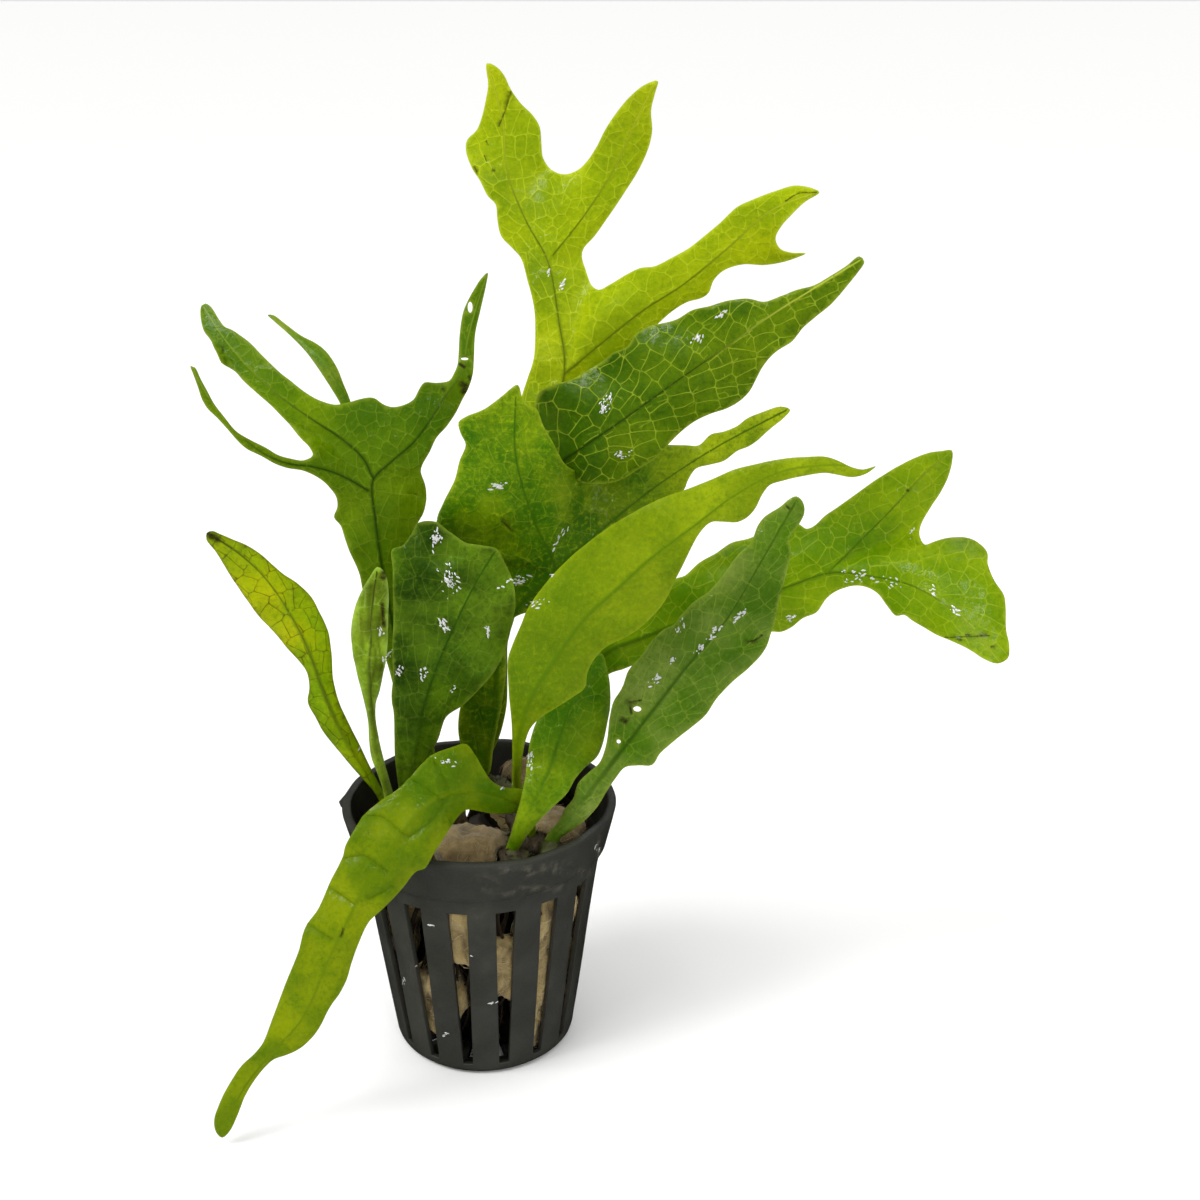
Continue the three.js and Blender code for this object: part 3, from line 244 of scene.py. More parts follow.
# Outline points are across and up on the board, counted round the blade from its stalk.
# Rib points are across, up and depth, where depth is the real Y. The first rib starts at the stalk.
# Tilt leans the blade across its rib, camber bends its edges back by the square of their distance,
# ruffle is the height of the waves along its edges and wave their length.
FRONDS = [
    {
        "node": "frond_crown", "tilt": 0.2, "camber": 0.02, "ruffle": 0.9, "wave": 17,
        "outline": [
            [-3, 45.5], [-1.6, 54], [0.6, 65], [3, 76], [5.8, 90], [7.4, 103], [8.6, 113], [9.8, 117],
            [10.9, 120.5], [11.2, 125], [11, 130], [9.8, 135], [8.6, 139], [7, 140.8], [5, 143], [4.3, 146],
            [4, 148.8], [2.6, 150.3], [1.2, 153], [-0.3, 155.3], [-1.4, 158.5], [-1.2, 160.5], [0.5, 162.3],
            [1.4, 164.5], [2.2, 168], [2.6, 170.5], [2.4, 174.5], [4.2, 173.8], [5.5, 172.3], [6.7, 169.8],
            [8.5, 167.3], [10.8, 165], [12, 163], [12.3, 160], [12.6, 157.3], [14, 155.2], [16.5, 154.2],
            [19, 155], [20.8, 156.8], [22.5, 159.5], [24, 162.5], [26, 165.5], [28.5, 168.5], [31, 170.5],
            [33.5, 171.3], [33, 169], [32.3, 166], [32.5, 162], [31.8, 159], [30, 155], [27.5, 151],
            [24.5, 146.5], [22, 143], [20, 140.7], [19.7, 139.3], [20.5, 136.5], [21.5, 134], [22.8, 133.2],
            [25, 134.2], [28, 136], [30.5, 137.2], [33, 137.5], [36, 139], [39, 140.6], [42, 143],
            [45, 145.5], [48, 148.3], [51, 149.7], [55, 151.2], [59, 152.2], [63, 151], [60.5, 149.3],
            [58, 147], [56, 144.7], [55, 142.5], [55.8, 140.7], [58, 139.9], [60.5, 139.8], [57, 138.5],
            [53, 137.8], [49, 137.8], [45.5, 136.6], [43.7, 134.8], [42.8, 132.6], [41.5, 131.7], [39, 131],
            [36.5, 129.5], [34.7, 128], [30, 123.5], [24, 118.5], [19.5, 114], [15, 108], [12.5, 102],
            [9.2, 90], [6, 76], [3.4, 65], [0.6, 54], [-1, 45.5],
        ],
        "ribs": [
            [[-2, 45.5, 15.5], [-0.5, 54, 14.5], [2, 65, 13], [4.5, 76, 12], [7.5, 90, 12], [11, 104, 12],
                [16.5, 117.5, 13.5], [15.5, 128, 17], [13.5, 138.5, 21], [9.5, 146, 24.5], [6.2, 154.5, 28],
                [5.3, 164, 30], [2.8, 173.5, 29]],
            [[14.3, 139.3, 21], [20, 146.5, 21], [25.5, 155, 19.5], [30, 165, 15], [33, 170.6, 11]],
            [[16.8, 118, 13.5], [24, 124, 11], [31, 129.5, 8.5], [38, 134, 5.5], [46, 140.5, 1.5],
                [54, 147.5, -3.5], [62.4, 151, -10]],
        ],
    },
    {
        "node": "frond_netted", "tilt": 0.3, "camber": 0.015, "ruffle": 0.8, "wave": 15,
        "outline": [
            [-1.5, 45], [-0.2, 52], [1.5, 62], [3.5, 72], [6.2, 82], [9, 92], [10.3, 98], [10.5, 104],
            [10.8, 110], [12, 114.5], [15, 116], [18, 116.8], [20.5, 118.3], [23, 119.8], [25.5, 121.8],
            [28, 122.8], [29.5, 125], [31.5, 126.3], [34, 127], [37, 127.8], [40, 129.5], [43, 130.2],
            [46, 131.2], [50, 131.6], [53, 131], [56, 132], [59, 133.2], [62, 134], [65, 135.7],
            [68, 137.6], [70.3, 139.3], [71.2, 138.4], [70, 136.3], [68, 133.8], [65, 130.5], [62.5, 128.5],
            [60, 126.3], [58, 123.8], [55, 121.8], [52.8, 119.3], [51.5, 117], [50.3, 114.8], [48.5, 113],
            [46, 111.5], [43, 110.5], [40, 109], [37.5, 107], [35.5, 105], [33, 102.5], [30, 100.5],
            [27, 98.6], [24, 97.8], [20, 98], [17, 99.2], [15.2, 97.6], [13.2, 94], [10, 84], [7.4, 73.4],
            [6.2, 69], [6.1, 64], [5.9, 57], [4.4, 51], [2.2, 47], [0.6, 45],
        ],
        "ribs": [
            [[-0.5, 45, 13], [1, 52, 10.5], [2.8, 62, 8], [5, 72, 5.5], [8, 83, 4], [11.5, 94, 2.5],
                [15.3, 101, 0], [20, 104.5, -3], [28, 110, -5.5], [37, 116.5, -8], [45, 122, -10],
                [55, 129, -12.5], [63, 134, -15.5], [70.5, 138.6, -20]],
        ],
    },
    {
        "node": "frond_shaded_fork", "tilt": -0.05, "camber": 0.01, "ruffle": 0.7, "wave": 16,
        "outline": [
            [0, 44.5], [-1.8, 48.5], [-2.8, 52], [-2.7, 56], [-1.6, 60], [-0.6, 65], [-0.2, 70], [-1, 76],
            [-3.4, 82], [-6, 87], [-6.8, 91], [-5.5, 94.5], [-3.5, 98.5], [-2.6, 102], [-1.5, 105],
            [-2.4, 107], [-2.8, 109], [-1.5, 110], [2, 111.5], [5, 113.7], [8, 115.8], [8.8, 113.6],
            [10, 112], [11.3, 111.6], [12.6, 108.5], [14.3, 105.5], [15.4, 103.4], [16.4, 101.6],
            [18, 100.4], [20, 100], [22, 100.6], [23.6, 101.8], [25, 103], [29, 104.5], [33, 105],
            [36, 105], [38.5, 104.9], [41, 104.8], [43.3, 106.8], [45.5, 107.3], [48, 108.3], [50, 109.8],
            [53, 111], [56, 111.9], [57.7, 111.3], [56.5, 109.8], [54, 107.8], [51.5, 105.6], [50, 104.6],
            [48, 103.8], [45.5, 102], [43, 101.3], [40.5, 100.6], [39, 98.5], [38.3, 96.8], [36.5, 95.6],
            [33, 93], [28, 89], [23, 84.5], [19, 80], [15.5, 76.3], [12, 74.8], [8.5, 74], [6.4, 72.5],
            [5.8, 69], [5.9, 64], [5, 57], [3.6, 50], [2.5, 44.5],
        ],
        "ribs": [
            [[1.5, 44.5, 10], [2.5, 50, 7.5], [3.8, 58, 3.5], [4.4, 66, 0], [6.5, 73, -2],
                [10.5, 78, -3], [14.6, 82, -4], [11.5, 90, -6], [9, 97, -7.5], [7.5, 104, -8.5],
                [7.6, 113.5, -8]],
            [[14.8, 82, -4], [19, 86, -1.5], [25, 91, 2.5], [34, 98, 8], [45, 105, 14],
                [56.8, 111.2, 21]],
        ],
    },
    {
        "node": "frond_bright_blade", "tilt": 0.18, "camber": 0.03, "ruffle": 0.8, "wave": 22,
        "outline": [
            [6.9, 38], [6.9, 42], [7, 48], [6.9, 54], [6.4, 60], [6.3, 66], [7, 68.3], [8.8, 72.5],
            [9.6, 74.5], [11.5, 77.5], [14.7, 81.4], [19, 85.6], [24, 89.5], [29, 92.6], [34, 95],
            [38.5, 96.7], [43, 98.5], [47, 100.2], [52, 101.5], [56, 102.3], [60, 102.7], [64, 102.8],
            [66.5, 102], [69, 100.8], [71, 100.4], [73.3, 101], [71.5, 99.6], [69, 99], [66.5, 99.4],
            [64, 99.8], [60, 99.2], [56.5, 98.4], [54, 97.6], [52.7, 96], [51.3, 93.3], [49.8, 91.7],
            [48, 90.9], [45.5, 90.9], [43.3, 90.8], [41.5, 89.2], [39.8, 86.5], [38.3, 83.5], [36.7, 80.3],
            [35.2, 77], [33, 74], [30, 71.4], [27, 69.5], [24, 68], [22, 66], [20.7, 63.5], [20.2, 60.6],
            [17.8, 58.8], [14.5, 56.7], [12, 55], [10.3, 53.2], [9.2, 50], [8.7, 46], [8.6, 42], [8.6, 38],
        ],
        "ribs": [
            [[7.7, 38, -1], [7.8, 43, -4.5], [7.9, 48, -11], [8.6, 53, -16.5], [11, 60, -21], [15, 66, -23],
                [20, 73, -25.5], [26, 78.5, -28.5], [32, 84, -31], [40, 90, -34], [48, 96, -36.5],
                [56, 100, -39], [64, 101.2, -41], [72.8, 100.8, -42]],
        ],
    },
    {
        "node": "frond_hammer", "tilt": 0.15, "camber": 0.02, "ruffle": 1, "wave": 18,
        "outline": [
            [8.6, 40.5], [10.4, 47], [12.5, 54], [15.6, 60.5], [19.5, 66], [24.5, 71], [30, 75.5],
            [34, 78.5], [36.7, 80.5], [38.5, 81], [41, 83.3], [44, 85], [47, 87], [50, 87.7], [52, 88.5],
            [55, 90], [58, 90.9], [59.6, 90.3], [60.5, 89.7], [62, 90.2], [64, 92], [66.5, 93.6],
            [70, 96.2], [75, 99.6], [78, 101.2], [80, 102.2], [83, 103.5], [85.3, 103.8], [87.2, 103.9],
            [87.2, 102], [86.5, 99.3], [85, 96], [83, 92.8], [81.7, 90.5], [81.3, 88.5], [82.3, 86.6],
            [84, 87.2], [86.5, 88], [90, 87.9], [92, 87], [93.6, 85.3], [93.8, 83], [95, 80], [96.7, 77.4],
            [97, 75], [97, 71.5], [97.7, 68], [97.4, 66], [95.5, 65], [93.5, 65.6], [90, 67.8], [87, 69.2],
            [84.5, 70.1], [82, 71.6], [80, 72.8], [78.5, 73.9], [77, 73.8], [75.5, 75.5], [73.5, 78],
            [70.5, 79.2], [67, 78.5], [64.5, 76.9], [62.5, 74.4], [60, 73.4], [58, 71.7], [56, 70.8],
            [54.3, 70.8], [50, 70], [44, 69.5], [38, 68.3], [33, 66.2], [28, 64.3], [24.8, 63.2],
            [20.5, 60], [17.2, 55], [14.6, 49], [12.6, 44], [10.8, 40],
        ],
        "ribs": [
            [[9.6, 40.2, 4], [12, 46.5, 3], [14.6, 53, 1], [18, 59.5, -1], [24, 66.8, -3],
                [30, 69.5, -4.5], [36, 71.8, -5.5], [46, 75.3, -6], [57, 79, -6], [65, 81.6, -6.5],
                [73, 80.9, -9], [80, 79.2, -13], [87, 75, -18], [92, 70, -23], [95.6, 65.6, -27]],
            [[65, 82, -6.5], [70, 87, -3], [76, 93, 1.5], [82, 99.5, 6], [86.8, 103.5, 9]],
        ],
    },
    {
        "node": "frond_dark_lance", "tilt": 0.12, "camber": 0.035, "ruffle": 0.9, "wave": 14,
        "outline": [
            [12.9, 32.6], [13.8, 34.4], [15.5, 36.3], [16.6, 38.6], [18, 40.3], [19, 43.2], [21, 45.2],
            [23, 47], [24.2, 50.5], [24.8, 55], [25.5, 58], [27, 60.5], [28.3, 63.8], [30.5, 66.5],
            [32.5, 69.3], [34.5, 71.3], [36.5, 72.3], [38, 74.2], [40, 76.3], [43, 78.2], [45.5, 81],
            [48, 84.5], [50.5, 87], [52, 90.3], [53.3, 91.9], [56, 93.6], [57.6, 95], [58.8, 95.5],
            [60, 94.5], [60.3, 92.5], [59.3, 90.3], [57.5, 88], [57.8, 86], [57.2, 82], [55.7, 77],
            [55, 73], [54.3, 70.6], [52.8, 67], [50, 64], [46.5, 61], [44.5, 59], [42.5, 56], [40, 53.5],
            [37, 51], [34, 48.5], [32.5, 46.5], [30, 46.4], [27.6, 46.1], [25.8, 44], [24.3, 41.8],
            [22.6, 39], [20.6, 36.8], [18.3, 34.9], [16, 33.3], [14.6, 31.8],
        ],
        "ribs": [
            [[13.9, 32.2, -13.5], [17.2, 36.6, -13.5], [21, 41.5, -14], [26, 48, -15.5], [33, 57, -18],
                [40, 66, -20.5], [46, 73, -23], [52, 83, -25], [58.6, 94.4, -25]],
        ],
    },
    {
        "node": "frond_front_short", "tilt": 0.1, "camber": 0.03, "ruffle": 0.8, "wave": 14,
        "outline": [
            [5.8, 30.6], [6.6, 33.6], [7.6, 37], [8.6, 40.5], [9.4, 44.5], [9.8, 48], [10.4, 51.5],
            [11.4, 54.5], [13.5, 58], [17, 62], [20.5, 65.5], [23.3, 66.8], [24.3, 64], [24.8, 61],
            [24.8, 57], [24.1, 53], [23.4, 50], [22.4, 48], [20.4, 46.2], [18.5, 44], [17, 41.4],
            [14.5, 39], [12, 36.5], [10, 34], [8.3, 31.4], [7.5, 30],
        ],
        "ribs": [
            [[6.7, 30.6, -16.5], [8.8, 36, -17], [11.5, 41, -16], [14, 46.5, -13.8], [15.8, 52, -11.8],
                [18, 58, -10], [23, 66.2, -7]],
        ],
    },
    {
        "node": "frond_drooping", "tilt": -0.12, "camber": 0.03, "ruffle": 0.8, "wave": 20,
        "outline": [
            [10.9, 33], [11.3, 36.5], [11.4, 39.4], [10.4, 41.6], [8, 42.2], [5.4, 42.5], [3.2, 43.8],
            [1.5, 46], [0, 48.5], [-1.6, 50.2], [-4, 49.7], [-7, 48.7], [-9.5, 46.8], [-12, 44],
            [-15, 41.3], [-17, 40], [-19.5, 38], [-22, 34.5], [-23.5, 31.5], [-24, 29.5], [-26, 25.5],
            [-28.5, 20], [-30.7, 17], [-32, 12.5], [-33.8, 8], [-35.5, 3.5], [-37, -0.5], [-38.4, -4],
            [-40, -6], [-42.5, -8.5], [-44.5, -11.5], [-46.3, -15], [-47.3, -18], [-47, -20.3],
            [-45.9, -21.4], [-44.5, -20.2], [-43, -17], [-41.8, -14], [-40, -11], [-38, -8.5], [-36.3, -7],
            [-34, -6.2], [-31.5, -5], [-29.8, -3.5], [-28, -1], [-26.5, 2], [-24.5, 5], [-23.2, 7.5],
            [-22.3, 10.5], [-21, 14], [-19.3, 17.5], [-16.5, 20.5], [-13, 24], [-10.5, 27], [-9, 27.6],
            [-7.5, 30], [-5.5, 33], [-3.5, 36.5], [-1.5, 38.3], [1, 38], [4, 37.7], [6.5, 37.7],
            [8.4, 37.6], [9.2, 35.6], [9.2, 33],
        ],
        "ribs": [
            [[10, 33.3, -10.5], [10, 37, -12], [9.4, 39.8, -12.5], [5, 40.3, -14.5], [0, 41.5, -18.5],
                [-7, 40.5, -23.5], [-14, 33, -28], [-20, 24, -31], [-26, 12, -33.5], [-31.5, 0, -35],
                [-37, -6, -36], [-42, -12.5, -37], [-45.8, -20.6, -38]],
        ],
    },
    {
        "node": "frond_yellowed", "tilt": -0.25, "camber": 0.03, "ruffle": 0.5, "wave": 18,
        "outline": [
            [-16.4, 38.9], [-18.2, 41.6], [-20.3, 44], [-22.3, 46.2], [-24.5, 48.8], [-27, 52], [-29, 55.5],
            [-30.3, 58], [-30, 60.5], [-30.5, 63.5], [-31.8, 65.4], [-34.5, 68.3], [-37.5, 71.8],
            [-39.8, 74.5], [-42.5, 78], [-45.3, 82.7], [-47.3, 85.6], [-48.8, 87.6], [-48.7, 88.8],
            [-47.7, 89.2], [-46.3, 88.6], [-44, 87.6], [-41.5, 86.6], [-39, 85], [-37, 83.2], [-34.8, 81.3],
            [-32, 79.5], [-30, 77.5], [-28.2, 74.5], [-26.6, 71], [-26, 67], [-25.7, 62.5], [-24.8, 58.5],
            [-23, 54.5], [-21, 50.5], [-19.6, 47.5], [-17.8, 44], [-16.4, 41.5], [-15, 39.6],
        ],
        "ribs": [
            [[-15.7, 39.2, 3], [-18.6, 43.5, 1.5], [-21.3, 47.8, 0], [-24.6, 53.5, -2], [-27.5, 60, -4],
                [-30, 67, -7.5], [-33.5, 74, -12], [-38, 80.5, -17], [-42.5, 84.8, -21],
                [-47.9, 88.5, -25]],
        ],
    },
    {
        "node": "frond_young_folded", "tilt": 0.25, "camber": 0.05, "ruffle": 0.4, "wave": 12,
        "outline": [
            [-15.7, 38.4], [-16.6, 42], [-17.6, 45], [-18.7, 48], [-19.1, 51], [-19.3, 54.5], [-20.1, 58.5],
            [-21.3, 63], [-22.2, 68], [-22.3, 72], [-21.6, 75.5], [-20.3, 78.6], [-19, 80.8], [-17.6, 82.6],
            [-16.2, 81.5], [-15.5, 78], [-15.6, 74], [-15.7, 70], [-16, 66], [-16.6, 63], [-17.2, 60],
            [-18, 57.5], [-17.9, 54], [-17.2, 50.5], [-16.5, 47.6], [-15.8, 45], [-14.9, 42], [-14.1, 38.4],
        ],
        "ribs": [
            [[-14.9, 38.4, 0], [-15.9, 42.5, -1.5], [-17.4, 48, -3.5], [-18.6, 55, -5.5],
                [-19, 61, -7], [-18.9, 68, -8], [-18.4, 75, -8], [-17.6, 81.8, -7]],
        ],
    },
    {
        "node": "frond_left_fork", "tilt": -0.1, "camber": 0.01, "ruffle": 0.8, "wave": 17,
        "outline": [
            [-12.6, 41.5], [-13.3, 46], [-13.8, 52], [-14.2, 58], [-15.5, 64], [-17.6, 70], [-19.2, 75],
            [-20.3, 78.5], [-21, 81.5], [-22.4, 84.8], [-23.5, 88], [-24.3, 90.3], [-25.5, 91.8],
            [-24.9, 93.5], [-25.1, 95.3], [-26.2, 97], [-28.2, 98.8], [-31, 100.2], [-34, 100.7],
            [-36.3, 101.5], [-39, 103], [-41.5, 104.2], [-42.8, 105.3], [-45, 107.8], [-47, 110],
            [-48.5, 111.4], [-49.6, 113.2], [-50.4, 115.6], [-51.2, 117.8], [-51.7, 119.3], [-50.9, 119],
            [-49.8, 116.8], [-48.8, 115], [-47.4, 112.4], [-45.4, 109.8], [-43.4, 107.4], [-41, 105.9],
            [-38, 104.4], [-35.6, 103], [-33.4, 102.4], [-31, 102.1], [-29.3, 103.1], [-30, 104.6],
            [-32, 106.6], [-34, 109], [-37, 112], [-39.5, 114.2], [-42, 116.5], [-43.5, 118.3], [-46, 120],
            [-47, 122], [-48, 124.2], [-49.2, 125.8], [-49.8, 128], [-49.7, 130.3], [-49, 130.7],
            [-48, 130.1], [-46.5, 127.8], [-45.5, 126.5], [-44, 125.8], [-41, 123.5], [-38.5, 121],
            [-36, 118.7], [-33, 116.3], [-30.5, 114.3], [-28, 112.9], [-25.5, 112.2], [-23, 112.6],
            [-20.5, 113.3], [-18.3, 113.5], [-16.5, 112.4], [-15, 111.9], [-13, 112.2], [-11, 113.2],
            [-10, 115], [-9, 116.3], [-7, 116.2], [-4.5, 116.6], [-3.6, 118], [-3, 119.5], [-2.8, 121.5],
            [-2.6, 125], [-2, 129], [-1.2, 131], [0, 133.2], [1.3, 135.2], [2.5, 136.3], [2.2, 134],
            [1.2, 129.5], [0.2, 125], [0, 121], [-0.2, 118], [-1, 115.3], [-2.3, 112.8], [-3.3, 110.8],
            [-5, 108.3], [-6.8, 106.3], [-8, 103.8], [-9.4, 101.3], [-9.7, 100], [-8.9, 97.5], [-8.7, 95],
            [-9.2, 92.5], [-10.3, 90.5], [-11.5, 87], [-12.3, 82], [-12.4, 75], [-12, 68], [-11.6, 60],
            [-11.4, 52], [-11.2, 46], [-10.6, 41.5],
        ],
        "ribs": [
            [[-11.6, 41.5, 6.5], [-12.2, 46, 6], [-12.6, 52, 5.5], [-13, 60, 5], [-14.6, 71, 4],
                [-16.8, 83, 3], [-18, 92, 2.5], [-18.4, 98.5, 2], [-15, 102, 2.5], [-11, 105.5, 3.5],
                [-8, 109.5, 5], [-5.5, 113.5, 7], [-2.2, 118.5, 9.5], [-1.2, 124, 12], [0.1, 129, 14],
                [2.2, 135.6, 15]],
            [[-18.4, 99, 2], [-20.2, 102.5, 2], [-24, 106, 2], [-29, 109.3, 2.5], [-35, 113.5, 4],
                [-41, 119, 7], [-46, 125, 11], [-49.2, 130, 15]],
            [[-19, 96.5, 2], [-24, 99.3, 0.5], [-29, 100.9, -3], [-34, 101.6, -7], [-39, 103.8, -11],
                [-45, 109, -15.5], [-49, 114.5, -18], [-51.3, 118.8, -19]],
        ],
    },
    {
        "node": "frond_back_narrow", "tilt": -0.5, "camber": 0.02, "ruffle": 0.3, "wave": 14,
        "outline": [
            [-8.4, 43], [-10.2, 55], [-12.7, 68], [-16.2, 82], [-19.8, 95], [-22.5, 106], [-24.2, 112],
            [-26, 115.2], [-28.5, 119], [-31, 122.3], [-34, 125.3], [-36.5, 127.5], [-37.6, 128.6],
            [-36.5, 128.5], [-34.5, 127], [-31.5, 124.8], [-29, 123.5], [-27, 122], [-25, 119],
            [-23.8, 116], [-22.6, 113], [-20.7, 106], [-17.6, 95], [-14.1, 82], [-10.7, 68], [-8.4, 55],
            [-6.6, 43],
        ],
        "ribs": [
            [[-7.5, 43, 9.5], [-9.3, 55, 10], [-11.7, 68, 11], [-15.1, 82, 12], [-18.7, 95, 13],
                [-21.6, 106, 15.5], [-23.6, 113, 18], [-27, 119.5, 21], [-31.5, 123.6, 25],
                [-37.2, 128.3, 30]],
        ],
    },
    {
        "node": "frond_glossy_broad", "tilt": 0.1, "camber": 0.015, "ruffle": 0.8, "wave": 15,
        "outline": [
            [-12.9, 39], [-13.8, 43], [-14.4, 48], [-14.5, 52], [-14.6, 56], [-15, 59], [-14.7, 63],
            [-14.8, 68], [-14.7, 73], [-14.7, 78], [-14.8, 82], [-14.9, 85.8], [-13, 86.6], [-11.3, 88.8],
            [-10, 90.9], [-7, 91], [-4.5, 89], [-1.5, 87], [1.5, 86.6], [4.2, 85.9], [5.7, 83], [7.2, 79.5],
            [7.6, 76], [7, 72.5], [5.9, 68], [4, 64], [1, 60.5], [-2, 57.5], [-5, 55.4], [-5.8, 53.5],
            [-6.4, 51.5], [-8.2, 48], [-9.4, 45.5], [-10.3, 42.5], [-11, 39],
        ],
        "ribs": [
            [[-12, 39, 1.5], [-11.5, 43.5, -1], [-10.9, 48, -4], [-9.9, 53, -7], [-8.7, 58.5, -9.5],
                [-6.5, 65, -12], [-3, 73, -14], [0.5, 80, -15], [3.8, 85.4, -15]],
        ],
    },
]
